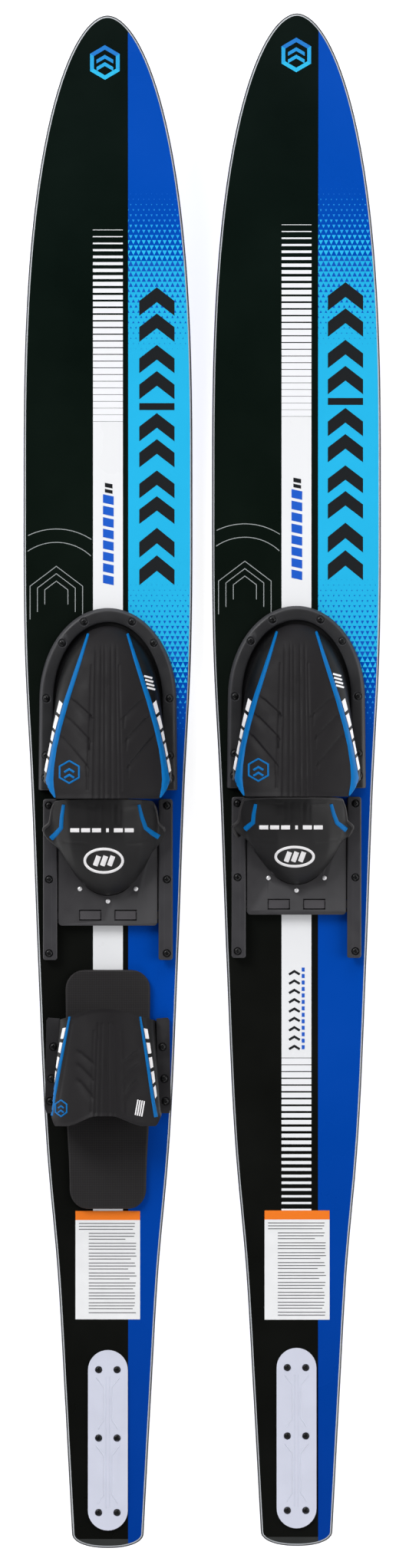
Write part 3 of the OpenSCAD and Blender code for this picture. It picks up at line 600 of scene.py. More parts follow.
def outline(gap, ys):
    """Right half of the outline moved in by gap, at stations ys from tip to tail."""
    h = 0.05
    x = half_width(ys)
    ahead, behind = np.minimum(ys + h, HALF_LENGTH), np.maximum(ys - h, -HALF_LENGTH)
    slope = (half_width(ahead) - half_width(behind)) / (ahead - behind)
    normal = np.column_stack([np.ones_like(x), -slope])
    normal /= np.linalg.norm(normal, axis=1, keepdims=True)
    normal[0] = (0, 1)
    normal[-1] = (0, -1)
    loop = np.column_stack([x, ys]) - gap * normal
    loop[0, 0] = loop[-1, 0] = 0
    loop[:, 0] = np.maximum(loop[:, 0], 0)
    return loop


def stations(extra):
    """Rows along the ski, dense at tip and tail, with the extra ones kept exactly."""
    ys = [HALF_LENGTH - 60 * (i / 26) ** 2 for i in range(27)]
    ys += list(np.arange(HALF_LENGTH - 60 - 11, -HALF_LENGTH + 30, -11))
    ys += [-HALF_LENGTH + 26 * (1 - i / 16) ** 2 for i in range(17)]
    ys = [y for y in ys if all(abs(y - e) > 3.0 for e in extra)]
    return np.array(sorted(set(ys + extra), reverse=True))


def ring_mesh(rings, ys, columns, sheet_slot, band_slots, hollow=None):
    """Closed solid: a sheet inside the first ring, bands between rings, a cap in the last.
    rings: [(inset from the outline, surface function, height over it), ...];
    columns(y): x of the sheet's inner columns; sheet_slot(x, y): its material slots."""
    points, faces, slots = [], [], []

    def add(grid, flip=False):
        faces.append(grid_faces(*grid.shape[:2], sum(len(p) for p in points), flip))
        points.append(grid.reshape(-1, 3))

    def fill(loop, surface, rise, columns_at, slot_at, low=None):
        grid = np.zeros((len(loop), len(columns_at(0.0)) + 2, 3))
        for row, (x, y) in zip(grid, loop):
            row[1:-1, 0] = np.clip(np.array(columns_at(y)), -x, x)
            row[0, 0], row[-1, 0] = -x, x
            row[:, 1] = y
            row[:, 2] = surface(y) + rise
            if low is not None:
                row[:, 2] += low(row[:, 0], y)
        add(grid)
        y_mid = (loop[:-1, 1] + loop[1:, 1]) / 2
        x_mid = (grid[:-1, :-1, 0] + grid[:-1, 1:, 0] + grid[1:, :-1, 0] + grid[1:, 1:, 0]) / 4
        slots.append(np.array([[slot_at(x, y) for x in row]
                               for row, y in zip(x_mid, y_mid)]).ravel())

    loops = [(outline(gap, ys), surface, rise) for gap, surface, rise in rings]
    fill(*loops[0], columns, sheet_slot, hollow)
    for pair in zip(loops[:-1], loops[1:], band_slots):
        for sign in (1, -1):
            edges = [np.column_stack([loop[:, 0] * sign, loop[:, 1], surface(loop[:, 1]) + rise])
                     for loop, surface, rise in pair[:2]]
            add(np.stack(edges, 1), sign < 0)
            slots.append(np.full(len(ys) - 1, pair[2]))
    fill(*loops[-1], lambda y: [0.0], lambda x, y: band_slots[-1])
    return np.concatenate(points), np.concatenate(faces), np.concatenate(slots)


def switch_y(zone, side):
    """Where the ground colour changes, half a row past the zone's middle row."""
    start, end, _ = zone
    rows = int((start - end) / DOT_PITCH_Y / 2) + 0.5
    return start + PRINT_SHIFT[side] - rows * DOT_PITCH_Y


def topsheet(side, ys, upper_y, lower_y):
    split = SPLIT_X[side]
    stripe_rear, stripe_front = STRIPE_ENDS[side]

    def slot(x, y):
        if y < TAIL_BAND_Y and x < split:
            return 6
        if x > split:
            return 3 if lower_y < y < upper_y else 2
        return 1 if abs(x) < STRIPE_HALF and stripe_rear < y < stripe_front else 0

    # The first band inside the outline carries the painted edge highlight; the bands below it are
    # dark sidewall.
    rings = [(2.7, deck, 0), (1.5, deck, -1.0), (0.5, deck, -2.6), (0.0, deck, -4.3),
             (0.0, underside, BAND_RISE)]
    v, f, slots = ring_mesh(rings, ys, lambda y: [-STRIPE_HALF, STRIPE_HALF, split], slot,
                            [4, 5, 5, 5])
    mats = [SHEET_BLACK, SHEET_WHITE, SHEET_BLUE, SHEET_CYAN, SHEET_EDGE_HIGHLIGHT, SIDEWALL, TAIL_GREY]
    obj = make("topsheet_shell", v, f, mats, side, slots=slots, sharp=28)
    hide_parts(side + "_topsheet", side + "_core")


TUNNEL_X, TUNNEL_MARGIN, TUNNEL_DEPTH = 9.0, 15, 2.3  # inner edge, edge margin, depth


def running_base(side, ys):
    """Underside with a shallow tunnel on each side of the centre."""
    shares = np.linspace(0, 1, 9)[1:-1]

    def outer_x(y):
        return max(12.0, float(half_width(y)[0]) - TUNNEL_MARGIN)

    def columns(y):
        outer = outer_x(y)
        right = [TUNNEL_X] + [TUNNEL_X + (outer - TUNNEL_X) * t for t in shares] + [outer]
        return [-x for x in right[::-1]] + [0.0] + right

    def hollow(x, y):
        t = np.clip((np.abs(x) - TUNNEL_X) / max(outer_x(y) - TUNNEL_X, 1), 0, 1)
        fade = float(ease((560 - y) / 70) * ease((y + 580) / 70))
        return TUNNEL_DEPTH * np.sin(math.pi * t) ** 0.55 * fade

    rings = [(3.6, underside, 0), (1.5, underside, 0.7), (0.4, underside, 1.9),
             (0.0, underside, 3.2), (0.0, underside, BAND_RISE)]
    v, f, slots = ring_mesh(rings, ys, columns, lambda x, y: 0, [0, 0, 1, 1], hollow)
    obj = make("running_base", v, f, [BASE_BLUE, SIDEWALL], side, slots=slots, sharp=28)
    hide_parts(side + "_base")


def ski(side):
    upper_y, lower_y = switch_y(UPPER_ZONE, side), switch_y(LOWER_ZONE, side)
    ys = stations([upper_y, lower_y, TAIL_BAND_Y, *STRIPE_ENDS[side]])
    topsheet(side, ys, upper_y, lower_y)
    running_base(side, ys)


# ------------------------------------------------------------------- halftone
def clip_x(polygon, x0, sign):
    """Keeps the side of a polygon where sign * (x - x0) >= 0."""
    out = []
    for a, b in zip(polygon, polygon[1:] + polygon[:1]):
        a_in, b_in = sign * (a[0] - x0) >= 0, sign * (b[0] - x0) >= 0
        if a_in:
            out.append(a)
        if a_in != b_in:
            out.append((x0, a[1] + (b[1] - a[1]) * (x0 - a[0]) / (b[0] - a[0])))
    return out


def triangle(side, cx, cy, size, up):
    """Spot clipped to the coloured field, or None where too little is left."""
    k = 1 if up else -1
    w, h = size * DOT_PITCH_X / 2, k * size * DOT_PITCH_Y / 2
    polygon = [(cx - w, cy - h), (cx + w, cy - h), (cx, cy + h)]
    if not up:
        polygon = polygon[::-1]
    polygon = clip_x(polygon, SPLIT_X[side] + 0.05, 1)
    polygon = clip_x(polygon, float(half_width(cy)[0]) - 3.5, -1)
    area = 0.5 * abs(sum(a[0] * b[1] - b[0] * a[1]
                         for a, b in zip(polygon, polygon[1:] + polygon[:1])))
    return polygon if area > 0.12 else None


def halftone(side):
    """Triangles that fade blue to cyan and back: spots grow on the first ground,
    then the gaps between them close on the second."""
    dark = len(DOT_TONES)
    groups = [[] for _ in range(dark + 1)]
    for zone in (UPPER_ZONE, LOWER_ZONE):
        start, end, last = (y + PRINT_SHIFT[side] for y in zone)
        middle = (start + end) / 2
        for r in range(int((start - last) / DOT_PITCH_Y) + 1):
            y = start - r * DOT_PITCH_Y
            f = (start - y) / (start - end)
            growing = f <= 0.5
            if growing:
                size = min(1.0, 2 * f)
            else:
                size = min(1.0, max(0.04, (y - last) / (middle - last)))
            if growing != (zone is UPPER_ZONE):
                group = dark
            else:
                group = min(3, int((f if growing else 1 - f) * 8))
            for c in range(-1, 16):
                cx = SPLIT_X[side] + DOT_PITCH_X * (c + 0.5 + (0.5 if r % 2 else 0.0))
                if cx - DOT_PITCH_X > float(half_width(y)[0]):
                    continue
                shift = 0.0 if growing else DOT_PITCH_X / 2
                spot = triangle(side, cx + shift, y, size, not growing)
                if spot is not None:
                    groups[group].append(patch(spot, sink=0.25))
    v, f = join([part for group in groups for part in group])
    slots = [i for i, group in enumerate(groups) for _, faces in group for _ in faces]
    make("halftone", v, f, DOT_TONES + [DOT_DARK], side, slots=slots, tidy=False)


# ------------------------------------------------------------------- deck print
def print_parts(side, name, parts, mat):
    v, f = join(parts)
    make(name, v, f, mat, side, tidy=False)


def bar(x0, x1, y0, y1, lift=0.12):
    """Printed rectangle from y0 down to y1."""
    ys = np.linspace(y0, y1, max(1, int(abs(y1 - y0) / 12)) + 1)
    return patch([(x0, y) for y in ys] + [(x1, y) for y in ys[::-1]], lift)


def printed_line(path, width, lift=0.12, step=6):
    return strip(path, width, on_deck, lift, 0.25, across=2, crown=0, step=step)


def chevron(x_mid, peak, half, thick, rise):
    """Two printed arms that meet in a point towards the tip."""
    arms = []
    for sign in (-1, 1):
        x = x_mid + sign * half
        arm = [(x_mid, peak), (x_mid, peak - thick), (x, peak - thick - rise), (x, peak - rise)]
        arms.append(patch(arm[::-sign], 0.14))
    return arms


def ladder(side):
    """Bars that thicken into the front of the stripe, and what lies behind its rear end."""
    front, pitch = 624.41 + PRINT_SHIFT[side], 7.57
    bars = []
    for k in range(29):
        thick = max(0.6, pitch * (1 - 0.95 * math.exp(-k / 9.4)))
        y = front - k * pitch
        bars.append(bar(-STRIPE_HALF, STRIPE_HALF, y + thick / 2, y - thick / 2))
    if side == "right":  # the stripe breaks up again towards the tail
        pitch, count = 7.52, 25
        for k in range(count):
            y = STRIPE_ENDS[side][0] - k * pitch
            gap = 0.55 + (pitch - 2.4) * (k / (count - 1)) ** 0.9
            bars.append(bar(-STRIPE_HALF, STRIPE_HALF, y - gap, y - pitch))
    else:
        bars.append(bar(-STRIPE_HALF, STRIPE_HALF, -480.9, -483.32))
    print_parts(side, "ladder", bars, INK_LADDER)


BADGE_AT = {"left": (-3.02, 811.3), "right": (-0.6, 817.32)}
BADGE_R, BADGE_LINE = 16.75, 4.3
BADGE_EDGE_TONES = (0, 2, 3, 3, 2, 0)  # tone of each side, anticlockwise from the tip end


def hexagon(cx, cy, rx, ry):
    """Closed path of a hexagon with a corner towards the tip."""
    return [(cx + rx * math.cos(math.radians(90 + 60 * i)),
             cy + ry * math.sin(math.radians(90 + 60 * i))) for i in range(7)]


def tip_badge(side):
    """Hexagon ring round a double chevron."""
    cx, cy = BADGE_AT[side]
    groups = [[] for _ in BADGE_TONES]
    corners = [np.array(p) for p in hexagon(cx, cy, BADGE_R, BADGE_R)]
    mitre = math.tan(math.radians(30)) * BADGE_LINE / 2
    for a, b, tone in zip(corners[:-1], corners[1:], BADGE_EDGE_TONES):
        along = (b - a) / np.linalg.norm(b - a)
        inward = BADGE_LINE / 2 * np.array([-along[1], along[0]])
        groups[tone].append(patch([a - inward - along * mitre, b - inward + along * mitre,
                                   b + inward - along * mitre, a + inward + along * mitre], 0.14))
    for tone, peak in ((1, 8.5), (2, 0.3)):
        groups[tone] += chevron(cx, cy + peak, half=9.4, thick=4.2, rise=5.4)
    for i, group in enumerate(groups):
        print_parts(side, "badge_%d" % i, group, BADGE_TONES[i])


MARKS_X = (35.42, 75.17)
# front and rear y of each bold mark
BOLD_MARKS = [(559.872, 498.528), (495.072, 433.728), (418.176, 356.832), (353.376, 292.896),
              (288.576, 223.776)]
CROSSBAR_Y = (421.63, 429.41)


def bold_marks(side):
    """Pairs of chevrons on the cyan field, and one crossbar."""
    x0, x1 = MARKS_X
    shift = PRINT_SHIFT[side]
    marks = []
    for front, rear in BOLD_MARKS:
        thick, rise = (front - rear) * 0.27, (front - rear) * 0.25
        for peak in (front, rear + rise + thick):
            marks += chevron((x0 + x1) / 2, peak + shift, (x1 - x0) / 2, thick, rise)
    y0, y1 = CROSSBAR_Y[0] + shift, CROSSBAR_Y[1] + shift
    marks.append(patch([(x1, y0), (x1, y1), (x0, y1), (x0, y0)], 0.14))
    print_parts(side, "bold_marks", marks, INK_BLACK)


def stripe_marks(side):
    """Slanted dashes on the stripe, with two small ticks in front."""
    shift = PRINT_SHIFT[side]

    def slanted(x0, x1, y0, y1, slant):
        return patch([(x0, y1), (x1, y1 - slant), (x1, y0 - slant), (x0, y0)], 0.2)

    front, rear, count = 326.59 + shift, 222.91 + shift, 8
    pitch = (front - rear) / count
    dashes = []
    for i in range(count):
        y = front - i * pitch
        dashes.append(slanted(-5.62, 6.48, y, y - pitch * 0.74, slant=2.6))
    ticks = [slanted(-3.46, 5.18, y0 + shift, y1 + shift, slant=1.8)
             for y0, y1 in ((339.55, 334.8), (332.64, 328.75))]
    print_parts(side, "stripe_dashes", dashes, INK_BLUE)
    print_parts(side, "stripe_ticks", ticks, INK_BLACK)


LINE_CENTRE = (-58.32, 215.14)
ARC_RADII = (72.14, 57.02)
ARC_X_MAX, ARC_Y_MIN = -18.58, 140.83
LINE_WIDTH = 0.85
EDGE_MARGIN = 3.8


def line_work(side):
    """Thin arcs and nested house outlines on the black ground."""
    cx, cy = LINE_CENTRE[0], LINE_CENTRE[1] + PRINT_SHIFT[side]
    lines = []
    for radius in ARC_RADII:
        runs = [[]]
        for k in range(181):
            a = math.radians(-75 + 255 * k / 180)
            x, y = cx + radius * math.cos(a), cy + radius * math.sin(a)
            limit = float(half_width(y)[0]) - EDGE_MARGIN
            if -limit < x < ARC_X_MAX and y > ARC_Y_MIN:
                runs[-1].append((x, y))
            else:
                runs.append([])
        lines += [printed_line(run, LINE_WIDTH) for run in runs if len(run) > 3]
    limit = float(half_width(cy)[0]) - EDGE_MARGIN
    for scale in (1.0, 0.72, 0.44):
        w, h = 29.7 * scale, 30 * scale
        house = [(cx - w, cy - h), (cx - w, cy + h * 0.25), (cx, cy + h),
                 (cx + w, cy + h * 0.25), (cx + w, cy - h)]
        lines.append(printed_line([(max(x, -limit), y) for x, y in house], LINE_WIDTH))
    print_parts(side, "line_work", lines, INK_GREY)


# x of both edges, y of the front and rear edges
LABELS = {"left": (-36.72, 36.29, -483.58, -605.92), "right": (-36.03, 37.41, -485.4, -608.7)}


def label(side):
    """Plain label with a coloured band in front and grey rules in threes."""
    x0, x1, front, rear = LABELS[side]
    x_mid, width, band_end = (x0 + x1) / 2, x1 - x0, front - 10.2
    for name, end, lift, mat in (("label", rear, 0.2, LABEL_PANEL),
                                 ("label_band", band_end, 0.3, LABEL_ORANGE)):
        path = [(x_mid, front), (x_mid, end)]
        print_parts(side, name, [printed_line(path, width, lift, step=4)], mat)
    rules = []
    rng = np.random.RandomState(3)
    y = band_end - 3.4
    k = 0
    while y > rear + 5:
        last_of_three = k % 3 == 2
        indent = 0 if k < 3 else 11
        length = width - 8 - indent - rng.rand() * (14 if last_of_three else 3)
        start = x0 + 4 + indent
        rules.append(bar(start, start + length, y, y - 0.95, 0.32))
        y -= 4.6 if last_of_three else 3.3
        k += 1
    print_parts(side, "label_rules", rules, LABEL_LINES)


def rear_marks():
    """Open chevrons and a row of small ticks on the right ski's rear stripe."""
    front, rear = -210.82, -305.86
    x0, x1 = -8.38, 3.72
    chevrons, ticks = [], []
    for i in range(9):
        y = front - i * (front - rear) / 9 - 4.2
        chevrons.append(printed_line([(x0, y - 3.6), ((x0 + x1) / 2, y), (x1, y - 3.6)], 2.6,
                                     lift=0.2, step=30))
    pitch = (front - rear) / 13
    for i in range(13):
        y = front - i * pitch
        ticks.append(bar(5.96, 9.24, y, y - pitch * 0.62, 0.2))
    print_parts("right", "rear_blocks", chevrons, INK_BLACK)
    print_parts("right", "rear_ticks", ticks, INK_BLUE)


for side in SIDES:
    ski(side)
    halftone(side)
    ladder(side)
    tip_badge(side)
    bold_marks(side)
    stripe_marks(side)
    line_work(side)
    label(side)
rear_marks()

# ---------------------------------------------------------- moulded and metal parts
# The edge amounts below paint a lighter highlight on sharp convex edges of these parts.
NYLON = material("nylon_body", (50, 49, 52), rough=0.5, spec=0.4, tone_scale=50, bump=0.35,
                 bump_scale=1100, edge_highlight=0.12)
# One nylon; its darker top colour is painted shade, the lit sides kept lighter.
FRAME_NYLON = material("frame_nylon", (60, 60, 63), rough=0.5, spec=0.4, tone_scale=50,
                       bump=0.35, bump_scale=1100, top=(33, 33, 35), edge_highlight=0.1)
COVER_NYLON = material("cover_nylon", (54, 53, 55), rough=0.42, spec=0.45, tone_scale=40,
                       bump=0.3, bump_scale=1100, edge_highlight=0.1)
TILE_NYLON = material("tile_nylon", (68, 66, 69), rough=0.5, spec=0.4, tone_scale=50, bump=0.3,
                      bump_scale=1100, edge_highlight=0.2)
SCREW_BLACK = material("screw_black", (26, 26, 27), rough=0.33, spec=0.6, tone=0.1,
                       tone_scale=200, metal=0.6, bump=0.1, bump_scale=2500, edge_highlight=0.2)
RIVET_STEEL = material("rivet_steel", (232, 231, 233), rough=0.5, metal=0.55, tone=0.05,
                       tone_scale=300, bump=0.1, bump_scale=2500)
PLATE_SKIN = material("fin_plate_skin", (204, 207, 222), rough=0.42, spec=0.4, tone=0.02,
                      tone_scale=40, bump=0.12, bump_scale=1200)
CLAMP_NYLON = material("clamp_nylon", (34, 33, 35), rough=0.38, spec=0.45, tone_scale=50,
                       bump=0.3, bump_scale=1100, edge_highlight=0.1)
FIN_NYLON = material("fin_nylon", (34, 34, 36), rough=0.45, spec=0.4, tone=0.08, tone_scale=40,
                     bump=0.3, bump_scale=900, edge_highlight=0.1)
SPRING_STEEL = material("spring_steel", (170, 170, 172), rough=0.3, metal=0.95, tone=0.05,
                        tone_scale=400, bump=0.1, bump_scale=3000)
BRASS = material("insert_brass", (190, 150, 80), rough=0.35, metal=0.95, tone_scale=300,
                 bump=0.1, bump_scale=3000)


def dress(node, mat, width, segments=2, limit=50, planar=True):
    """Material and softened edges on a CAD node; width in metres, limit in degrees."""
    obj = NODES[node]
    obj.data.materials.clear()
    obj.data.materials.append(mat)
    for polygon in obj.data.polygons:
        polygon.material_index = 0
    weld = obj.modifiers.new("weld", "WELD")
    weld.merge_threshold = 1e-6
    if planar:
        flat = obj.modifiers.new("flat", "DECIMATE")
        flat.decimate_type = "DISSOLVE"
        flat.angle_limit = math.radians(0.6)
    if width:
        bevel = obj.modifiers.new("edge", "BEVEL")
        bevel.width = width
        bevel.segments = segments
        bevel.limit_method = "ANGLE"
        bevel.angle_limit = math.radians(limit)
        bevel.use_clamp_overlap = True
    weighted = obj.modifiers.new("wn", "WEIGHTED_NORMAL")
    weighted.keep_sharp = True


# CAD piece, material, bevel width in metres (0 for none), bevel segments
CAD_PARTS = [
    ("frame_screws", SCREW_BLACK, 0.00025, 2),
    ("rail_screws", SCREW_BLACK, 0.00025, 2),
    ("fin_screws", SCREW_BLACK, 0.00025, 2),
    ("inserts", BRASS, 0, 2),
    ("fin", FIN_NYLON, 0.001, 3),
    ("heel_tray", NYLON, 0.0005, 2),
    ("lock_bar", TILE_NYLON, 0.0005, 3),
    ("lock_springs", SPRING_STEEL, 0, 2),
    ("heel_rivets", RIVET_STEEL, 0.0002, 2),
    ("heel_cover", COVER_NYLON, 0.0009, 3),
    ("fin_plate", PLATE_SKIN, 0.0008, 3),
]
for side in SIDES:
    for piece, mat, width, segments in CAD_PARTS:
        dress(side + "_" + piece, mat, width, segments, planar=piece != "lock_springs")
    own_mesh(NODES[side + "_lock_springs"])
dress("left_rtp_clamps", CLAMP_NYLON, 0.0010, segments=3, limit=60)
dress("left_rtp_screws", SCREW_BLACK, 0.00025)

# ------------------------------------------------------------------- clamp frame
# centre line of the horseshoe: an ellipse in front, two legs that run back from it
FRAME_RX, FRAME_RY, FRAME_CY = 69.5, 96.0, 94.0
FRAME_WIDTH = 16.0
LEG_END_X, LEG_END_Y = 70.5, -8.0
# section of the bar: distance out from the centre line, height over the deck
FRAME_SECTION = np.array([
    (8.0, 0.0), (8.0, 1.4), (7.7, 3.0), (6.7, 5.2), (5.4, 6.7), (4.6, 7.2), (3.6, 7.45),
    (2.6, 7.5), (-5.6, 7.5), (-6.6, 7.35), (-7.4, 6.8), (-7.8, 6.0), (-8.0, 5.0), (-8.0, 2.6),
    (-3.0, 2.6), (-3.0, 0.0),
])
SECTION_CENTRE = np.array([1.0, 3.6])
LEG_TAPER = [(-8.0, 0.80), (-7.75, 0.89), (-7.2, 0.955), (-6.4, 0.99)]  # y, section scale


def ring_point(a, out):
    """Point at angle a on the frame's ellipse, moved outwards."""
    return (FRAME_RX + out) * np.cos(a), FRAME_CY + (FRAME_RY + out) * np.sin(a)


SCREW_SEATS = [ring_point(math.radians(a), 0) for a in (67, 42, 1)] + [(70.0, 31.0), (70.5, 6.0)]


def clamp_frame(side):
    """Horseshoe bar open towards the tail, with dished screw seats."""
    def section(scale):
        q = SECTION_CENTRE + (FRAME_SECTION - SECTION_CENTRE) * scale
        q[:, 1] = np.where(FRAME_SECTION[:, 1] <= 0.01, 0.0, q[:, 1])
        return q[:, 0], DECK_Z + q[:, 1]

    leg = []
    for y, scale in LEG_TAPER + [(y, 1.0) for y in np.linspace(LEG_END_Y, 90, 30)[1:]]:
        out, z = section(scale)
        f = (y - LEG_END_Y) / (FRAME_CY - LEG_END_Y)
        x = (LEG_END_X + out) * (1 - f) + (FRAME_RX + out) * f
        leg.append(np.column_stack([x, np.full(len(out), y), z]))
    arc = []
    for a in np.radians(np.arange(0, 181, 3)):
        out, z = section(1.0)
        arc.append(np.column_stack([*ring_point(a, out), z]))
    far_leg = [ring * (-1, 1, 1) for ring in reversed(leg)]
    v, f = loft(leg + arc + far_leg)
    obj = make("toe_frame_bar", v, f, FRAME_NYLON, side, sharp=32)
    cuts = []
    for x, y in SCREW_SEATS:
        for sign in (1, -1):
            cx, cy = ORIGIN[side][0] + sign * x, ORIGIN[side][1] + y
            cuts.append(cylinder(cx, cy, 4.4, DECK_Z + 6.5, DECK_Z + 7.9, 5.8, n=32))
            cuts.append(cylinder(cx, cy, 2.75, DECK_Z - 1, DECK_Z + 6.6, n=24))
    combine(obj, *join(cuts), "DIFFERENCE")
    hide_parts(side + "_toe_frame")


# ------------------------------------------------------------------- side rails
RAIL_FRONT_Y, RAIL_REAR_Y = -17.8, -199.8
RAIL_TOP, RAIL_ROUND = 12.5, 1.6
TOOTH_Y, TOOTH_PITCH = -149.2, 5  # one tooth's place, and the spacing


def side_rail(side, which, sign):
    """Upright bar with a lip towards the centre line and a rack of teeth under the lip."""
    def place(solid):
        return solid[0] * np.array([sign, 1, 1]), solid[1]

    profile = [(0.3, DECK_Z), (0, DECK_Z + 0.3)]
    for k in range(6):
        a = math.radians(90 * k / 5)
        profile.append((RAIL_ROUND * (1 - math.cos(a)),
                        DECK_Z + (RAIL_TOP - RAIL_ROUND + RAIL_ROUND * math.sin(a))))
    v, f = place(block(rounded_rect(62, RAIL_REAR_Y, 73.2, RAIL_FRONT_Y, 3.2, 9), profile))
    obj = make("rail_%s_bar" % which, v, f, NYLON, side, sharp=40)
    lip_profile = [(d, DECK_Z + z) for d, z in (
        (0.3, 9.5), (0, 9.8), (0, 11.3), (0.3, 12.0), (0.9, 12.4), (1.6, 12.49))]
    v, f = place(block(rounded_rect(57.2, RAIL_REAR_Y, 70, RAIL_FRONT_Y, 2.6, 9), lip_profile))
    combine(obj, v + ORIGIN[side], f, "UNION")
    cuts = []
    for k in range(3):
        cx = ORIGIN[side][0] + sign * 66.5
        cy = ORIGIN[side][1] + (RAIL_FRONT_Y - 7.5 - k * 83.5)
        cuts.append(cylinder(cx, cy, 4.5, DECK_Z + 10.5, DECK_Z + 13.5, 4.8, n=36))
        cuts.append(cylinder(cx, cy, 2.75, DECK_Z - 1, DECK_Z + 10.6, n=24))
    combine(obj, *join(cuts), "DIFFERENCE")
    teeth = []
    first = math.floor((RAIL_REAR_Y + 2 - TOOTH_Y) / TOOTH_PITCH) + 1
    last = math.floor((RAIL_FRONT_Y - 2 - TOOTH_Y) / TOOTH_PITCH)
    for k in range(first, last + 1):
        y = TOOTH_Y + TOOTH_PITCH * k
        teeth.append(place(block(rounded_rect(57.4, y - 1.1, 62.6, y + 1.1, 0.4, 3),
                                 [(0.15, DECK_Z + 6.9), (0, DECK_Z + 7.1), (0, DECK_Z + 9.6)])))
    v, f = join(teeth)
    make("rack_" + which, v, f, NYLON, side, sharp=40)
    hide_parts("%s_rail_%s" % (side, which))


# ------------------------------------------------------------------- fin plate
PLATE_HEIGHT = 2.6
PLATE_ROWS = (-662.7, -739.6, -823.4)  # places the raised lines bend out to


def on_plate(x, y):
    points, normals = on_deck(x, y)
    return points + normals * PLATE_HEIGHT, normals


def plate_ribs(side):
    """Raised lines on the fin plate."""
    front, middle, rear = PLATE_ROWS
    parts = []
    for sign in (-1, 1):
        for y0, y1 in ((front - 9, middle + 9), (middle - 9, rear + 9)):
            path = [(13.0, y0), (9.0, y0 - 5), (4.6, y0 - 11), (4.6, y0 - 20), (4.6, y1 + 20),
                    (4.6, y1 + 11), (9.0, y1 + 5), (11.0, y1 + 1)]
            parts.append(strip([(sign * x, y) for x, y in path], 1.5, on_plate, 0.5, 0.5,
                               across=5, crown=2, step=3))
        parts.append(strip([(sign * 1.9, front - 8), (sign * 1.9, rear + 4)], 0.9, on_plate,
                           0.35, 0.5, across=5, crown=2, step=6))
    v, f = join(parts)
    make("fin_plate_ribs", v, f, PLATE_SKIN, side, sharp=50)


for side in SIDES:
    inner_sign = 1 if side == "left" else -1
    clamp_frame(side)
    side_rail(side, "inner", inner_sign)
    side_rail(side, "outer", -inner_sign)
    plate_ribs(side)


# ---------------------------------------------------------------- rubber materials
def rubber(name, rgb, rough, spec, bump, tone=0.08, rough_var=0.08):
    return material(name, rgb, rough=rough, spec=spec, tone=tone, tone_scale=45, bump=bump,
                    bump_scale=900, rough_var=rough_var)


RUBBER = rubber("overlay_rubber", (22, 20, 22), rough=0.6, spec=0.2, bump=0.35)
# Darker rubber for the side walls; on the toe skin it also paints the gutter's shade low down by
# the frame.
RUBBER_WALL = rubber("overlay_wall", (7, 7, 8), rough=0.42, spec=0.22, bump=0.25,
                     rough_var=0.06)
RUBBER_CUP = rubber("cup_rubber", (20, 19, 20), rough=0.5, spec=0.3, bump=0.35)
# Bead rubber lighter than the cup: painted highlight along the rolled rim.
RUBBER_BEAD = rubber("bead_rubber", (38, 36, 37), rough=0.5, spec=0.4, bump=0.25, tone=0.06)
PIPING_BLUE = material("piping_blue", (0, 104, 172), rough=0.5, spec=0.1, tone=0.03,
                       tone_scale=60, bump=0.15, bump_scale=1200)
MARKS_WHITE = material("marks_white", (240, 238, 239), rough=0.5, spec=0.3, tone=0.02,
                       tone_scale=80, bump=0.15, bump_scale=1200)
EVA_PAD = material("eva_pad", (45, 43, 44), rough=0.75, spec=0.3, tone=0.1, tone_scale=120,
                   bump=0.3, bump_scale=1400)
EVA_LINER = material("eva_liner", (24, 24, 25), rough=0.85, spec=0.15, tone=0.1, tone_scale=120,
                     bump=0.5, bump_scale=1400)


def add_painted_groove_shade(mat, pitch, width, dark):
    """Painted shade: darker lines over a material's colour where the grooves of a moulded grid
    lie in shade; pitch and width in mm.
    """
    tree = mat.node_tree
    base = tree.nodes["Principled BSDF"].inputs["Base Color"]
    source = base.links[0].from_socket
    place = split_xyz(tree, tree.nodes.new("ShaderNodeTexCoord").outputs["Object"])
    lines = []
    for axis in ("X", "Y"):
        cells = math_node(tree, "MULTIPLY", place[axis], 1000.0 / pitch)
        lines.append(math_node(tree, "LESS_THAN", math_node(tree, "FRACT", cells),
                               width / pitch))
    colour = mix_colour(tree, math_node(tree, "MAXIMUM", *lines), source,
                        (dark, dark, dark, 1), "MULTIPLY")
    tree.links.new(colour, base)


# Painted shade in the grooves of the rear pad's grid.
add_painted_groove_shade(EVA_PAD, pitch=2.6, width=0.75, dark=0.6)

# ---------------------------------------------------------------- rubber helpers
RUBBER_THICK = 3.5
FLANGE = 2.4  # thickness of the flat foot round a rubber piece


def line_distance(x, y, a, b):
    """Distance to the segment ab, and its sign (positive towards the tail)."""
    dx, dy = b[0] - a[0], b[1] - a[1]
    length = math.hypot(dx, dy)
    t = np.clip(((x - a[0]) * dx + (y - a[1]) * dy) / (length * length), 0, 1)
    distance = np.hypot(x - (a[0] + t * dx), y - (a[1] + t * dy))
    sign = (dx * (y - a[1]) - dy * (x - a[0])) * (1 if dx < 0 else -1)
    return distance, np.sign(sign)


def groove(x, y, a, b, depth, width):
    distance, _ = line_distance(x, y, a, b)
    return -depth * np.exp(-(distance / width) ** 2)


def plate_step(x, y, a, b, depth, sharp, soft):
    """Edge of an overlapping plate: sharp towards the tip, fading towards the tail."""
    distance, sign = line_distance(x, y, a, b)
    return -depth * np.exp(-(distance / np.where(sign > 0, soft, sharp)) ** 2)


def outward_normals(grid, inside):
    """Normals of a grid of points, turned away from the point inside."""
    n = np.cross(np.gradient(grid, axis=0), np.gradient(grid, axis=1))
    n = n / np.maximum(np.linalg.norm(n, axis=2, keepdims=True), 1e-9)
    sign = np.sign(((grid - np.asarray(inside)) * n).sum(2).mean())
    return n * (sign if sign else 1)


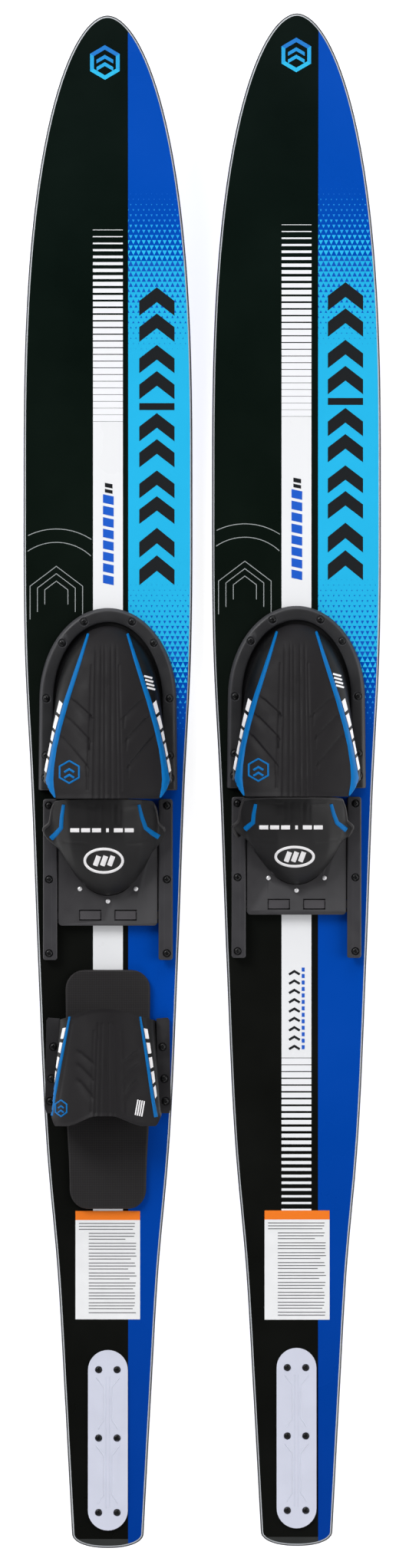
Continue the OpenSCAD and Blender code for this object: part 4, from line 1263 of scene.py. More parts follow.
def arc_angles(width, height, power, count, outer_x=math.inf, outer_weight=1.0):
    """Angles spaced evenly over a superellipse quarter; outer_weight thins the points
    beyond outer_x."""
    q = np.linspace(0, math.pi / 2, 2000)
    x, z = width * np.cos(q) ** power, height * np.sin(q) ** power
    weight = np.where(x[1:] < outer_x, 1.0, outer_weight)
    run = np.concatenate([[0], np.cumsum(np.hypot(np.diff(x), np.diff(z)) * weight)])
    out = np.interp(np.linspace(0, run[-1], count), run, q)
    out[0], out[-1] = 0, math.pi / 2
    return out


def mirror(path):
    return [(-x, y) for x, y in path]


def wall_blocks(grid, normals, sign, path, widths, ranges, drop, skip, lift=0.5, sink=0.6,
                count=6):
    """Raised blocks on a side wall, hung below the outer edge of the piping.
    sign: side in x; ranges: y spans; drop: height; skip: columns of the flat foot."""
    cols = grid.shape[1]
    middle = cols // 2
    if sign > 0:
        picked = np.arange(skip, middle + 1)
    else:
        picked = np.arange(cols - 1 - skip, middle - 1, -1)
    piping = np.array(sorted([(y, x, w) for (x, y), w in zip(path, widths)]))
    rows = []
    for r in range(grid.shape[0]):
        line, out = grid[r, picked], normals[r, picked]
        edge = (sign * np.interp(line[:, 1], piping[:, 0], piping[:, 1])
                + np.interp(line[:, 1], piping[:, 0], piping[:, 2]) / 2 + 0.5)
        beyond = sign * line[:, 0] - edge
        j = np.nonzero(beyond > 0)[0]
        if not len(j) or j[-1] + 1 >= len(picked):
            continue
        j = j[-1]
        k = beyond[j] / (beyond[j] - beyond[j + 1])
        run = np.concatenate([[0], np.cumsum(np.linalg.norm(np.diff(line, axis=0), axis=1))])
        q = run[j] + k * (run[j + 1] - run[j]) - np.linspace(0, drop, count)
        if q[-1] < 0:
            continue
        row = np.stack([np.interp(q, run, line[:, i]) for i in range(3)], 1)
        row_out = np.stack([np.interp(q, run, out[:, i]) for i in range(3)], 1)
        row_out /= np.linalg.norm(row_out, axis=1, keepdims=True)
        rows.append((row, row_out))
    blocks = []
    for y0, y1 in ranges:
        hit = [row for row in rows if min(y0, y1) <= row[0][0, 1] <= max(y0, y1)]
        if len(hit) < 3:
            continue
        points, out = np.array([row[0] for row in hit]), np.array([row[1] for row in hit])
        blocks.append(shell(points + out * lift, points - out * sink))
    return blocks


def moulded_badge(name, side, at, place, radii, line, peaks, half, drop, arm):
    """Raised hexagon round two chevrons; line and arm are their widths."""
    cx, cy = place
    parts = [(hexagon(cx, cy, *radii), line)]
    for peak in peaks:
        parts.append(([(cx - half, cy + peak - drop), (cx, cy + peak),
                       (cx + half, cy + peak - drop)], arm))
    v, f = join([strip(path, width, at, 0.5, 0.5, across=5, crown=4, step=1.5)
                 for path, width in parts])
    make(name, v, f, PIPING_BLUE, side, sharp=50)


# ---------------------------------------------------------------- toe overlay
RIM_GAP = 4.5  # from the frame's inner edge to the rubber
RIM_LEG, RIM_ARC = 92.0, 120.0  # run of the rim along the leg, and round the front
HEM_Y, CREST_Y, HEM_HEIGHT, CREST_HEIGHT = -17.6, 110.0, 87.0, 52
DOME_POWER = 2 / 2.4
# t from the rear hem to the toe, outward bulge of the wall
BULGE_T = [0, 0.05, 0.1, 0.15, 0.2, 0.28, 0.36, 0.45, 0.52, 0.62, 1]
BULGE = [17.5, 18, 16.5, 14, 11.6, 9.2, 6.8, 3.8, 1.6, 0, 0]
PIPING = [(-22.03, 168.48), (-31.97, 137.38), (-47.09, 90.72), (-54.86, 63.07), (-60.57, 38.88),
          (-63.85, 18.14), (-65.75, 2.59)]
PIPING_WIDTHS = [2.4, 4.4, 5.6, 5.6, 6.0, 6.8, 9.0]
PIPING_REAR = [(-65.75, 4.32), (-64.37, -4.32), (-59.18, -16.42)]
# front x and rear x of the ribs down the middle
CENTRE_RIBS = [(-13.2192, -15.552), (-7.0848, -8.208), (-3.3696, -2.8512), (3.8016, 4.4064),
               (9.3312, 10.9728)]
PANEL_EDGES = [(-18.144, -22.464), (12.528, 15.552)]
# ends of the overlapping plates on the -x side
PLATES = [((-36.29, 91.58), (-19.01, 75.6)), ((-42.34, 71.71), (-21.6, 50.11)),
          ((-48.82, 50.11), (-23.76, 19.87))]
# front and rear y of the white wall blocks
OVERLAY_BLOCKS = [(89.856, 76.896), (73.872, 59.616), (56.592, 46.656), (43.632, 29.376),
                  (26.352, 11.232)]


def rim_point(t, depth):
    """Plan point on the frame's inner edge moved in by depth; t runs rear to front."""
    s = t * (RIM_LEG + RIM_ARC)
    a = (np.maximum(s, RIM_LEG) - RIM_LEG) / RIM_ARC * math.pi / 2
    x, y = ring_point(a, -FRAME_WIDTH / 2 - depth)
    leg_x = FRAME_RX - FRAME_WIDTH / 2 - depth + (1 - s / RIM_LEG)
    return np.where(s < RIM_LEG, leg_x, x), np.where(s < RIM_LEG, 2.0 + s, y)


def dome(t, q, depth):
    """Skin over the toes; q runs from the rim (0) to the crest (pi/2)."""
    foot_x, foot_y = rim_point(t, RIM_GAP + depth)
    crest_y = HEM_Y + (CREST_Y - HEM_Y) * (1 - (1 - t) ** 1.9)
    k = np.clip((crest_y - HEM_Y) / (CREST_Y - HEM_Y), 0, 1)
    height = HEM_HEIGHT - (HEM_HEIGHT - CREST_HEIGHT) * k ** 1.15 - depth - FLANGE
    r = np.maximum(np.cos(q), 0) ** DOME_POWER
    z = np.maximum(np.sin(q), 0) ** DOME_POWER
    pull = 1.9 + 6.1 * (1 - np.minimum(1, t * 1.6)) ** 1.5
    bulge = np.interp(t, BULGE_T, BULGE)
    x = foot_x * r + bulge * np.sin(math.pi * np.minimum(1, z)) * (1 - 0.5 * (1 - r))
    rear = (1 - np.minimum(1, t / 0.35)) ** 1.5
    w = r ** pull * (1 - rear) + ease((r - 0.76) / 0.19) * rear
    y = crest_y + (foot_y - crest_y) * w
    foot_z = FLANGE * (1 - r if depth > 0 else np.ones_like(r))
    return np.stack([x, y, DECK_Z + foot_z + height * z], -1)


def overlay_grid(ts, qs, depth):
    """Rows rear to front; columns from the +x foot over the crest to the -x foot."""
    along, over = np.meshgrid(ts, qs, indexing="ij")
    skin = dome(along, over, depth)
    low = DECK_Z + (0.05 if depth > 0 else FLANGE)
    feet = []
    for gap in (-4.5, RIM_GAP * 0.4):
        x, y = rim_point(ts, gap)
        feet.append(np.stack([x, y, np.full(len(ts), low)], -1)[:, None, :])
    if depth > 0:
        skin[:, 0, 2] = low
    half = np.concatenate(feet + [skin], 1)
    other = half[:, ::-1] * (-1, 1, 1)
    grid = np.concatenate([half, other[:, 1:]], 1)
    grid[:, half.shape[1] - 1, 0] = 0
    grid[-1, :, 0] = 0
    return grid


def piping_x(y):
    """Distance of the piping from the centre line."""
    rising = np.array(sorted([(py, px) for px, py in PIPING]))
    return -np.interp(y, rising[:, 0], rising[:, 1])


def overlay_relief(grid, normals, ts):
    """Moulded height over the smooth skin."""
    x, y, z = grid[..., 0], grid[..., 1], grid[..., 2]
    # raised top panel inside the piping
    inside = smoothstep(-1.2, 1.2, piping_x(y) - np.abs(x))
    relief = 1.3 * inside * (0.35 + 0.65 * smoothstep(180.58, 166.75, y))
    fade = smoothstep(159.84, 142.56, y)
    for front_x, rear_x in CENTRE_RIBS:
        relief += groove(x, y, (front_x, 158.11), (rear_x, -21.6), 1.0, 1.15) * fade
    for front_x, rear_x in PANEL_EDGES:
        relief += groove(x, y, (front_x, 132.19), (rear_x, -7.78), 0.8, 1.2)
    for flip in (1, -1):
        for (ax, ay), (bx, by) in PLATES:
            inner = (flip * bx, by)
            relief += plate_step(x, y, (flip * ax, ay), inner, 1.5, 0.9, 5.0)
            relief += groove(x, y, inner, (flip * (bx + 0.8), by - 13), 0.8, 1.15)
    relief *= np.clip(normals[..., 2] * 1.6, 0, 1)
    # hem bead along the rear edge
    relief += 0.9 * np.exp(-(ts[:, None] / 0.012) ** 2) * (z > DECK_Z + 8)
    relief[:, :3] = 0
    relief[:, -3:] = 0
    return relief


def overlay(side):
    qs = arc_angles(57, 78, DOME_POWER, 119, outer_x=50, outer_weight=0.55)
    ts = np.linspace(0, 1, 211) ** 1.08
    outer, inner = overlay_grid(ts, qs, 0), overlay_grid(ts, qs, RUBBER_THICK)
    normals = outward_normals(outer, (0, 60, 20))
    outer = outer + normals * overlay_relief(outer, normals, ts)[..., None]
    outer[-1, :, 0] = 0
    v, f = shell_coarse(outer, inner, 3)
    # darker side walls outside the piping, and painted shade on the skin below 9 mm over the
    # deck, where the gutter inside the frame lies in shadow
    xc, yc, zc = np.moveaxis((outer[:-1, :-1] + outer[1:, 1:]) / 2, -1, 0)
    xc = np.abs(xc)
    wall = (xc > piping_x(yc) + 0.3) & (yc < 171.94) | (zc < DECK_Z + 9)
    slots = np.concatenate([wall.astype(int).ravel(), np.ones(len(f) - wall.size, int)])
    obj = make("toe_overlay_skin", v, f, [RUBBER, RUBBER_WALL], side, slots=slots, sharp=60)
    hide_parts(side + "_toe_overlay")
    at = on_skin(outer)
    parts = []
    for turned in (list, mirror):
        parts.append(strip(turned(PIPING), PIPING_WIDTHS, at, 1.1, 0.8, step=1.6))
        parts.append(strip(turned(PIPING_REAR), [9.0, 7.6, 1.6], at, 1.0, 0.8, step=1.2))
    make("overlay_piping", *join(parts), PIPING_BLUE, side, sharp=50)
    blocks = []
    for sign, path in ((-1, PIPING), (1, mirror(PIPING))):
        blocks += wall_blocks(outer, normals, sign, path, PIPING_WIDTHS, OVERLAY_BLOCKS,
                              drop=8.0, skip=6)
    # four short bars on the +x side
    for i in range(4):
        x, y = i * 1.1, 120.96 - i * 4.3
        blocks.append(strip([(41.04 + x, y), (50.112 + x, y - 2.4)], 2.2, at, 0.4, 0.5,
                            across=3, crown=6, step=1.0))
    make("overlay_marks", *join(blocks), MARKS_WHITE, side, sharp=50)
    moulded_badge("overlay_badge", side, at, place=(-43.2, 12.53), radii=(12.6, 12.6), line=2.0,
                  peaks=(3.2, -3.2), half=5.6, drop=3.4, arm=2.4)


# ------------------------------------------------------------------- heel cup
CUP_R, CUP_CY = 33.0, -93.0  # foot of the cup: half circle round the heel
CUP_FRONT_X, CUP_FRONT_Y = 45, -44
# rim of the cup: k from the back of the heel round to the front end, x, y, height
RIM = np.array([
    (0, 0, -18.5, 70), (0.16, 20, -18.5, 69), (0.3, 41, -19.2, 60), (0.42, 55.5, -21, 45),
    (0.5, 59, -31, 39), (0.58, 61, -45, 35), (0.68, 68.8, -51.5, 33), (0.76, 63.5, -63.5, 27),
    (0.88, 55, -60, 21), (1, 47, -44, 19),
], float)
LEAN = 4.4  # how far the rim leans to -x
HEEL_PIPING_WIDTHS = [3.6, 4.4, 4.8, 5.6, 5.8]
HEEL_BLOCKS_X = (-42.768, 30.672)
# piping on both sides, y of the block row, centre and radii of the oval ring
HEEL_TRIM = {
    "left": dict(
        piping=([(-49.68, -24.19), (-51.84, -38.02), (-52.7, -50.54), (-58.32, -57.02),
                 (-63.94, -62.64)],
                [(34.99, -24.19), (38.45, -38.02), (42.77, -50.54), (50.54, -56.59),
                 (57.46, -60.91)]),
        blocks_y=-53.14, oval=(-4.4928, -87.52, 21.3824, 13.2608)),
    "right": dict(
        piping=([(-46.224, -35.92), (-48.384, -47.152), (-49.248, -57.088),
                 (-54.1728, -60.976), (-58.0608, -64.432)],
                [(38.7072, -35.92), (41.7312, -47.152), (45.6192, -57.088),
                 (51.2352, -61.408), (55.9872, -65.296)]),
        blocks_y=-62.272, oval=(-2.2464, -95.3632, 21.3824, 10.8416)),
}


def cup_foot(k, depth):
    a = np.radians(-90 + 90 * np.minimum(k, 0.5) / 0.5)
    m = np.clip((k - 0.5) / 0.5, 0, 1)
    r = CUP_R - depth
    x = np.where(k < 0.5, r * np.cos(a), r + (CUP_FRONT_X - CUP_R) * m)
    y = np.where(k < 0.5, CUP_CY + r * np.sin(a), CUP_CY + (CUP_FRONT_Y - CUP_CY) * m)
    return x, y


def soft_rim(k, column):
    """A column of RIM with its corners eased a little."""
    out = np.zeros_like(k)
    for shift, weight in ((-0.016, 0.25), (0, 0.5), (0.016, 0.25)):
        near = np.abs(k + shift)
        value = np.interp(np.minimum(near, 2 - near), RIM[:, 0], RIM[:, column])
        if column == 1:
            value = np.where(k + shift < 0, -value, value)
        out += weight * value
    return out


def bezier(a, b, c, d, t):
    return (1 - t) ** 3 * a + 3 * (1 - t) ** 2 * t * b + 3 * (1 - t) * t * t * c + t ** 3 * d


def cup_point(k, v, depth, lead):
    """Skin of the cup's +x half; v runs from the foot to the rim."""
    foot_x, foot_y = cup_foot(k, depth)
    up = 1 - ease(k / 0.9)
    rim_x = np.where(k < 0.004, 0.0, soft_rim(k, 1) - depth * 0.55)
    rim_y = soft_rim(k, 2) - lead
    rim_z = soft_rim(k, 3) - depth * 0.8
    foot_z = 10.9 - (2.2 if depth > 0 else 0)
    out = ease(k / 0.35)
    spread = rim_x - foot_x
    x = bezier(foot_x, foot_x + spread * (0.05 + 0.5 * out),
               foot_x + spread * (0.9 + 0.15 * out), rim_x, v)
    y = bezier(foot_y, foot_y - 6 * up, foot_y + (rim_y - foot_y) * 0.42 + depth * up, rim_y, v)
    z = bezier(foot_z, foot_z + 10 + 12 * up,
               rim_z * (0.88 + 0.04 * up) - depth * 0.6 * up, rim_z, v)
    return np.stack([x, y, DECK_Z + z], -1)


def cup_grid(ks, vs, depth, lead):
    """Rows foot to rim; columns from the -x front end round the heel to the +x front end."""
    up, around = np.meshgrid(vs, ks, indexing="ij")
    z = np.full(len(ks), DECK_Z + (5.5 if depth > 0 else 7.7))
    feet = [np.stack([*cup_foot(ks, d), z], -1)[None] for d in (-3.8, depth)]
    half = np.concatenate(feet + [cup_point(around, up, depth, lead)], 0)
    other = half[:, ::-1] * (-1, 1, 1)
    grid = np.concatenate([other, half[:, 1:]], 1)
    grid[:, len(ks) - 1, 0] = 0
    grid[2:, :, 0] -= LEAN * (vs ** 1.6)[:, None]
    return grid


def cup_relief(grid, vs, lead):
    """Moulded creases and hem over the smooth cup."""
    x, y = grid[..., 0], grid[..., 1]
    normals = outward_normals(grid, (0, -60, 30))
    relief = np.zeros_like(x)
    # a crease on each flank, ribs up the collar, a short crease beside the ribs
    creases = [((-48.816, -66.53), (-24.624, -68.26), 0.5, 1.4),
               ((48.816, -66.53), (23.76, -68.26), 0.5, 1.4)]
    creases += [((rib_x, -21.6), (rib_x, -44.06), 0.45, 1.3)
                for rib_x in (-14.256, -6.912, 7.344, 14.256)]
    creases += [((sign * 33, -25.92), (sign * 16, -27.65), 0.5, 1.2) for sign in (-1, 1)]
    for (ax, ay), (bx, by), depth, width in creases:
        relief += groove(x, y, (ax, ay - lead), (bx, by - lead), depth, width)
    up = np.concatenate([[0.0, 0.0], vs])[:, None]
    relief *= np.clip(np.abs(normals[..., 2]) * 1.5, 0, 1)
    relief *= smoothstep(0.03, 0.1, up) * (1 - smoothstep(0.95, 0.99, up))
    relief += 0.5 * np.exp(-((1 - up) / 0.02) ** 2)
    relief[:2] = 0
    return normals * relief[..., None]


def rim_bead(side, outer_rim, inner_rim):
    """Rolled bead swept along the rim, thinner at its ends and on the raised collar."""
    count = len(outer_rim)
    kept = slice(int(count * 0.1), int(count * 0.9))
    rim = ((outer_rim + inner_rim) / 2)[kept]
    along = np.gradient(rim, axis=0)
    along /= np.linalg.norm(along, axis=1, keepdims=True)
    across = (inner_rim - outer_rim)[kept]
    across -= (across * along).sum(1, keepdims=True) * along
    across /= np.linalg.norm(across, axis=1, keepdims=True)
    third = np.cross(along, across)
    place = np.arange(len(rim))
    radius = 0.8 + 1.35 * np.minimum(1, np.minimum(place, place[::-1]) / 8.0)
    radius *= 1 - 0.5 * smoothstep(-27, -21.5, rim[:, 1])
    tube = np.stack([rim + (across * np.cos(a) * 1.15 + third * np.sin(a) * 0.95)
                     * radius[:, None]
                     for a in np.linspace(0, 2 * math.pi, 12, endpoint=False)], 1)
    make("heel_bead", *loft(list(tube)), RUBBER_BEAD, side, "heel", sharp=60)


def heel_marks(side, at):
    """Row of blocks over an open oval ring with three slanted bars."""
    trim = HEEL_TRIM[side]
    x0, x1 = HEEL_BLOCKS_X
    y = trim["blocks_y"]
    count = 6
    pitch = (x1 - x0) / count
    blocks = []
    for i in range(count):
        start, end, width = (0.35, 0.6, 4.4) if i == 3 else (0.06, 0.88, 4.6)
        blocks.append(strip([(x0 + pitch * (i + start), y), (x0 + pitch * (i + end), y)], width,
                            at, 0.5, 0.6, across=5, crown=6, step=1.4))
    cx, cy, rx, ry = trim["oval"]
    ring = [(cx + rx * math.cos(math.radians(a)), cy + ry * math.sin(math.radians(a)))
            for a in range(90, 451, 8)]
    blocks.append(strip(ring, 3.0, at, 0.7, 0.7, across=5, crown=5, step=1.6))
    for k in (-1, 0, 1):
        x = cx + k * 8.0 + 0.4
        blocks.append(strip([(x - 2.0, cy - 5.4), (x + 2.0, cy + 5.4)], 5.6, at, 0.7, 0.7,
                            across=5, crown=5, step=1.4))
    make("heel_marks", *join(blocks), MARKS_WHITE, side, "heel", sharp=50)


def heel(side):
    # the rim keeps its place over the ski while the unit is set forward
    lead = LEAD[side]
    ks, vs = np.linspace(0, 1, 84), np.linspace(0, 1, 96)
    outer, inner = cup_grid(ks, vs, 0, lead), cup_grid(ks, vs, RUBBER_THICK, lead)
    outer = outer + cup_relief(outer, vs, lead)
    obj = make("heel_cup_skin", *shell(outer, inner), RUBBER_CUP, side, "heel", sharp=60)
    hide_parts(side + "_heel_cup")
    at = on_skin(outer)
    rim_bead(side, outer[-1], inner[-1])
    parts = [strip(path, HEEL_PIPING_WIDTHS, at, 1.0, 0.8, step=1.4)
             for path in HEEL_TRIM[side]["piping"]]
    make("heel_piping", *join(parts), PIPING_BLUE, side, "heel", sharp=50)
    heel_marks(side, at)


# ------------------------------------------------------------------ foam pads
def pad(name, node, loop, low, high, step, relief, mat, side, unit="ski"):
    """Closed pad over a convex, symmetric plan outline (points in any order), with a fine
    chequered top and a rounded edge; low and high are heights over the deck."""
    loop = np.asarray(loop, float)
    y_low, y_high = loop[:, 1].min(), loop[:, 1].max()
    x_high = np.abs(loop[:, 0]).max()
    ys = np.linspace(y_low, y_high, len(np.arange(y_low, y_high + 1e-6, step)))
    right = loop[loop[:, 0] >= -1e-9]
    edge_y = np.unique(np.round(right[:, 1], 4))
    edge_x = [right[np.abs(right[:, 1] - y) < 1e-3][:, 0].max() for y in edge_y]
    edge = np.interp(ys, edge_y, edge_x)[:, None]
    to_end = np.minimum(ys - y_low, y_high - ys)[:, None]
    cols = int(round(2 * x_high / step)) + 1
    x = np.clip(np.linspace(-1, 1, cols)[None, :] * x_high, -edge, edge)
    y = np.repeat(ys[:, None], cols, 1)
    inward = np.minimum(edge - np.abs(x), to_end)
    radius = 2.0
    drop = radius - np.sqrt(np.maximum(0, radius ** 2 - np.maximum(0, radius - inward) ** 2))
    r, c = np.meshgrid(np.arange(len(ys)), np.arange(cols), indexing="ij")
    chequer = relief * (((r + c) % 2) - 0.5) * smoothstep(1.0, 3.0, inward)
    top = np.stack([x, y, DECK_Z + high - drop + chequer - relief * 0.5], -1)
    bottom = np.stack([x, y, np.full_like(x, DECK_Z + low)], -1)
    obj = make(name, *shell(top, bottom), mat, side, unit, sharp=70, merge=5e-6)
    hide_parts(side + "_" + node)


def toe_pad_loop():
    out, y0 = -FRAME_WIDTH / 2 - RIM_GAP - RUBBER_THICK - 2, 3.0
    x, y = ring_point(np.radians(np.arange(0, 181, 4)), out)
    return [(LEG_END_X + out, y0)] + list(zip(x, y)) + [(-(LEG_END_X + out), y0)]


def heel_pad_loop():
    r = CUP_R - (RUBBER_THICK + 1.6)
    front_x, front_y = 43 - (RUBBER_THICK + 1.6), -38
    arc = [(r * math.cos(a), CUP_CY + r * math.sin(a))
           for a in np.radians(np.arange(0, -181, -8))]
    return [(front_x, front_y)] + arc + [(-front_x, front_y)]


def rear_pad_loop():
    """Nearly parallel in front, narrower towards the tail."""
    half, rear, front, r = 48.4, -481, -211, 22
    sides = np.linspace(rear + r, front - r, 14)
    points = np.array([tuple(p) for p in rounded_rect(-half, rear, half, front, r, 14)]
                      + [(half, y) for y in sides] + [(-half, y) for y in sides])
    points[:, 0] *= np.interp((points[:, 1] - rear) / (front - rear),
                              [0, 0.17, 0.34, 0.9, 1], [0.885, 0.9, 0.952, 0.988, 0.99])
    return points


# ---------------------------------------------------------------- rear strap
STRAP_HALF = 52.4
STRAP_PIPING = ([(-42.94, -263.52), (-49.25, -294.62), (-55.3, -325.73), (-60.65, -353.38),
                 (-64.2, -374.98)],
                [(36.46, -263.52), (41.47, -294.62), (46.22, -325.73), (50.54, -355.1),
                 (54.43, -376.7)])
STRAP_PIPING_WIDTHS = [2.2, 3.0, 3.4, 3.8, 4.4]
# front x and rear x of the ribs down the middle
STRAP_RIBS = [(-11.232, -14.256), (-6.48, -8.64), (0.864, 1.296), (5.616, 7.344)]
# outer y and inner y of the overlapping plates
STRAP_PLATES = [(-303.264, -313.632), (-318.816, -331.776), (-336.096, -351.648)]
STRAP_BLOCK_Y, STRAP_BLOCK_PITCH, STRAP_BLOCK_LENGTH = -275.616, 16.848, 13.392


def strap_point(t, q, depth, sign=1):
    """Skin of the strap; t runs front to rear, q from the foot to the crest."""
    height = 46 + 20 * t - depth
    r = np.maximum(np.cos(q), 0) ** (2 / 2.5)
    z = np.maximum(np.sin(q), 0) ** (2 / 2.5)
    x = ((STRAP_HALF + 3 * t - depth) * r
         + (3 + 5.5 * t) * np.sin(math.pi * np.minimum(1, z))
         - (1 - t) * 9 * np.sin(math.pi / 2 * z) ** 4 * r - 4.2 * np.minimum(1, z) * sign)
    front = -254.5 - 14 * r ** 2
    rear = -375.5 - 11.5 * ease((r - 0.15) / 0.57) + 15 * ease((r - 0.86) / 0.14)
    return np.stack([x, front + (rear - front) * t, DECK_Z + height * z], -1)


def strap_grid(ts, qs, depth):
    """Rows front to rear; columns from the +x foot over the crest to the -x foot."""
    along, over = np.meshgrid(ts, qs, indexing="ij")
    low = DECK_Z + (0.05 if depth > 0 else FLANGE)
    foot_y = strap_point(ts, 0 * ts, 0)[:, 1]
    foot = np.stack([STRAP_HALF + 3 * ts + 5.5, foot_y, np.full(len(ts), low)], -1)[:, None]
    halves = []
    for sign in (1, -1):
        skin = strap_point(along, over, depth, sign)
        skin[:, 0, 2] = low
        halves.append(np.concatenate([foot, skin], 1))
    other = halves[1][:, ::-1] * (-1, 1, 1)
    return np.concatenate([halves[0], other[:, 1:]], 1)


def strap_relief(grid, normals, ts):
    x, y = grid[..., 0], grid[..., 1]
    relief = np.zeros_like(x)
    for front_x, rear_x in STRAP_RIBS:
        relief += groove(x, y, (front_x, -271.3), (rear_x, -375.84), 0.9, 0.9)
    for sign in (-1, 1):
        for outer_y, inner_y in STRAP_PLATES:
            relief += plate_step(x, y, (sign * 31, outer_y), (sign * 18.5, inner_y),
                                 1.3, 0.8, 4.6)
        relief += groove(x, y, (sign * 15.5, -279.94), (sign * 18.5, -370.66), 0.5, 1.2)
        relief += groove(x, y, (sign * 41, -271.3), (sign * 58, -372.38), 0.5, 1.4)
    relief *= np.clip(normals[..., 2] * 1.6, 0, 1)
    # hems along the front and rear edges
    t = ts[:, None]
    hems = np.exp(-(t / 0.02) ** 2) + np.exp(-((1 - t) / 0.02) ** 2)
    relief += 0.8 * hems * (grid[..., 2] > DECK_Z + 7)
    relief[:, :2] = 0
    relief[:, -2:] = 0
    return relief


def rear_strap():
    side = "left"
    qs = arc_angles(53, 56, 0.8, 76)
    ts = np.linspace(0, 1, 110)
    outer, inner = strap_grid(ts, qs, 0), strap_grid(ts, qs, RUBBER_THICK)
    normals = outward_normals(outer, (0, -320, 20))
    outer = outer + normals * strap_relief(outer, normals, ts)[..., None]
    v, f = shell(outer, inner)
    # darker side walls outside the piping
    xc, yc, _ = np.moveaxis((outer[:-1, :-1] + outer[1:, 1:]) / 2, -1, 0)
    limit = np.interp(yc, [-378.43, -327.46, -265.25], [62.5, 53.5, 42.5])
    wall = (np.abs(xc) + np.where(outer[:-1, :-1, 0] < 0, -3, 3)) > limit
    slots = np.concatenate([wall.astype(int).ravel(), np.ones(len(f) - wall.size, int)])
    obj = make("rear_strap_skin", v, f, [RUBBER, RUBBER_WALL], side, slots=slots, sharp=60)
    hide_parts("left_rtp_strap")
    at = on_skin(outer)
    parts = [strip(path, STRAP_PIPING_WIDTHS, at, 0.9, 0.8, step=1.5) for path in STRAP_PIPING]
    make("rear_piping", *join(parts), PIPING_BLUE, side, sharp=50)
    starts = [STRAP_BLOCK_Y - STRAP_BLOCK_PITCH * i for i in range(5)]
    blocks = []
    for sign, path in zip((-1, 1), STRAP_PIPING):
        blocks += wall_blocks(outer, normals, sign, path, STRAP_PIPING_WIDTHS,
                              [(y, y - STRAP_BLOCK_LENGTH) for y in starts], drop=5.5, skip=5)
    # four short bars on the +x side
    for i in range(4):
        x, y = i * 2.4, i * 0.6
        blocks.append(strip([(34.128 + x, -356.83 - y), (31.104 + x, -374.11 - y)], 1.5, at,
                            0.4, 0.5, across=3, crown=6, step=1.4))
    make("rear_marks", *join(blocks), MARKS_WHITE, side, sharp=50)
    moulded_badge("rear_badge", side, at, place=(-52.704, -366.77), radii=(7.4, 9.2), line=1.7,
                  peaks=(2.6, -2.4), half=3.2, drop=2.4, arm=1.8)


for side in SIDES:
    overlay(side)
    heel(side)
    pad("toe_footbed_skin", "toe_footbed", toe_pad_loop(), low=0.02, high=8, step=1.3,
        relief=0.5, mat=EVA_LINER, side=side)
    pad("heel_pad_skin", "heel_pad", heel_pad_loop(), low=10.02, high=15, step=1.3,
        relief=0.5, mat=EVA_LINER, side=side, unit="heel")
pad("rear_footbed_skin", "rtp_footbed", rear_pad_loop(), low=0.02, high=8, step=0.9,
    relief=1.5, mat=EVA_PAD, side="left")
rear_strap()


# ------------------------------------------------------------------- the stage
def floor():
    """Bright floor that lets the view through from below."""
    mat = bpy.data.materials.new("floor_paint")
    mat.use_nodes = True
    tree = mat.node_tree
    shader = tree.nodes["Principled BSDF"]
    shader.inputs["Base Color"].default_value = (0.72, 0.72, 0.72, 1)
    shader.inputs["Roughness"].default_value = 0.9
    shader.inputs["Specular IOR Level"].default_value = 0.1
    shader.inputs["Emission Color"].default_value = (1, 1, 1, 1)
    shader.inputs["Emission Strength"].default_value = 0.72
    clear = tree.nodes.new("ShaderNodeBsdfTransparent")
    geometry = tree.nodes.new("ShaderNodeNewGeometry")
    mix = tree.nodes.new("ShaderNodeMixShader")
    tree.links.new(geometry.outputs["Backfacing"], mix.inputs[0])
    tree.links.new(shader.outputs[0], mix.inputs[1])
    tree.links.new(clear.outputs[0], mix.inputs[2])
    tree.links.new(mix.outputs[0], tree.nodes["Material Output"].inputs["Surface"])
    half, z = 30.0, -0.0006  # metres
    mesh = bpy.data.meshes.new("floor")
    mesh.from_pydata([(-half, -half, z), (half, -half, z), (half, half, z), (-half, half, z)],
                     [], [(0, 1, 2, 3)])
    mesh.materials.append(mat)
    obj = bpy.data.objects.new("floor", mesh)
    scene.collection.objects.link(obj)


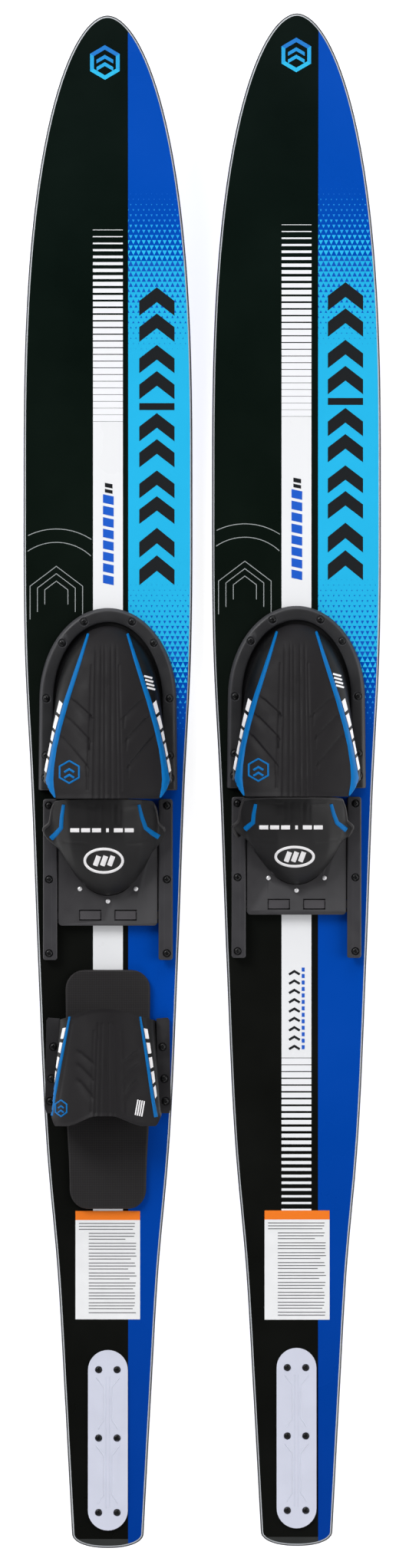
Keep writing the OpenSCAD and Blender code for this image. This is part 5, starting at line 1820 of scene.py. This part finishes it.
def studio_world():
    """Plain backdrop for the camera, a graded dome for the light."""
    world = bpy.data.worlds.new("studio")
    scene.world = world
    world.use_nodes = True
    tree = world.node_tree
    tree.nodes.clear()
    output = tree.nodes.new("ShaderNodeOutputWorld")
    light_path = tree.nodes.new("ShaderNodeLightPath")
    backdrop = tree.nodes.new("ShaderNodeBackground")
    backdrop.inputs["Color"].default_value = (0.95, 0.95, 0.955, 1)
    ambient = tree.nodes.new("ShaderNodeBackground")
    texture = tree.nodes.new("ShaderNodeTexCoord")
    height = split_xyz(tree, texture.outputs["Generated"])["Z"]
    ramp = tree.nodes.new("ShaderNodeValToRGB")
    stops = ramp.color_ramp.elements
    stops[0].position, stops[0].color = 0.0, (0.62, 0.62, 0.63, 1)
    stops[1].position, stops[1].color = 1.0, (0.035, 0.035, 0.037, 1)
    for position, colour in ((0.45, (0.55, 0.55, 0.56, 1)), (0.86, (0.12, 0.12, 0.125, 1))):
        stop = stops.new(position)
        stop.color = colour
    tree.links.new(height, ramp.inputs["Fac"])
    tree.links.new(ramp.outputs["Color"], ambient.inputs["Color"])
    mix = tree.nodes.new("ShaderNodeMixShader")
    tree.links.new(light_path.outputs["Is Camera Ray"], mix.inputs[0])
    tree.links.new(ambient.outputs[0], mix.inputs[1])
    tree.links.new(backdrop.outputs[0], mix.inputs[2])
    tree.links.new(mix.outputs[0], output.inputs["Surface"])


# name, place in metres, width, height, watts
LIGHTS = [
    ("key", (-2.2, 2.2, 2.6), 1.5, 2.0, 104),
    ("fill", (2.9, -0.2, 2.4), 2.0, 3.0, 58),
    ("back", (0.2, 3.9, 2.2), 2.4, 1.6, 46),
    ("front", (0.0, -3.6, 2.4), 2.2, 1.6, 34),
]


def lights():
    """Area lights aimed at the origin."""
    for name, place, width, height, power in LIGHTS:
        data = bpy.data.lights.new(name, "AREA")
        data.energy = power
        data.shape = "RECTANGLE"
        data.size = width
        data.size_y = height
        obj = bpy.data.objects.new(name, data)
        obj.location = place
        aim = Vector((0, 0, 0)) - Vector(place)
        obj.rotation_euler = aim.to_track_quat("-Z", "Y").to_euler()
        scene.collection.objects.link(obj)


def camera():
    """Long lens that looks straight down."""
    distance, half_view, sensor = 21.0, 0.8846, 36.0  # metres, metres, mm
    data = bpy.data.cameras.new("camera")
    data.sensor_width = sensor
    data.lens = sensor / 2 / (half_view / distance)
    data.clip_start, data.clip_end = 0.5, 100.0
    obj = bpy.data.objects.new("camera", data)
    obj.location = (0.0026, -0.0022, 0.062 + distance)
    scene.collection.objects.link(obj)
    scene.camera = obj
    scene.view_settings.view_transform = "Standard"
    scene.view_settings.look = "None"


floor()
studio_world()
lights()
camera()
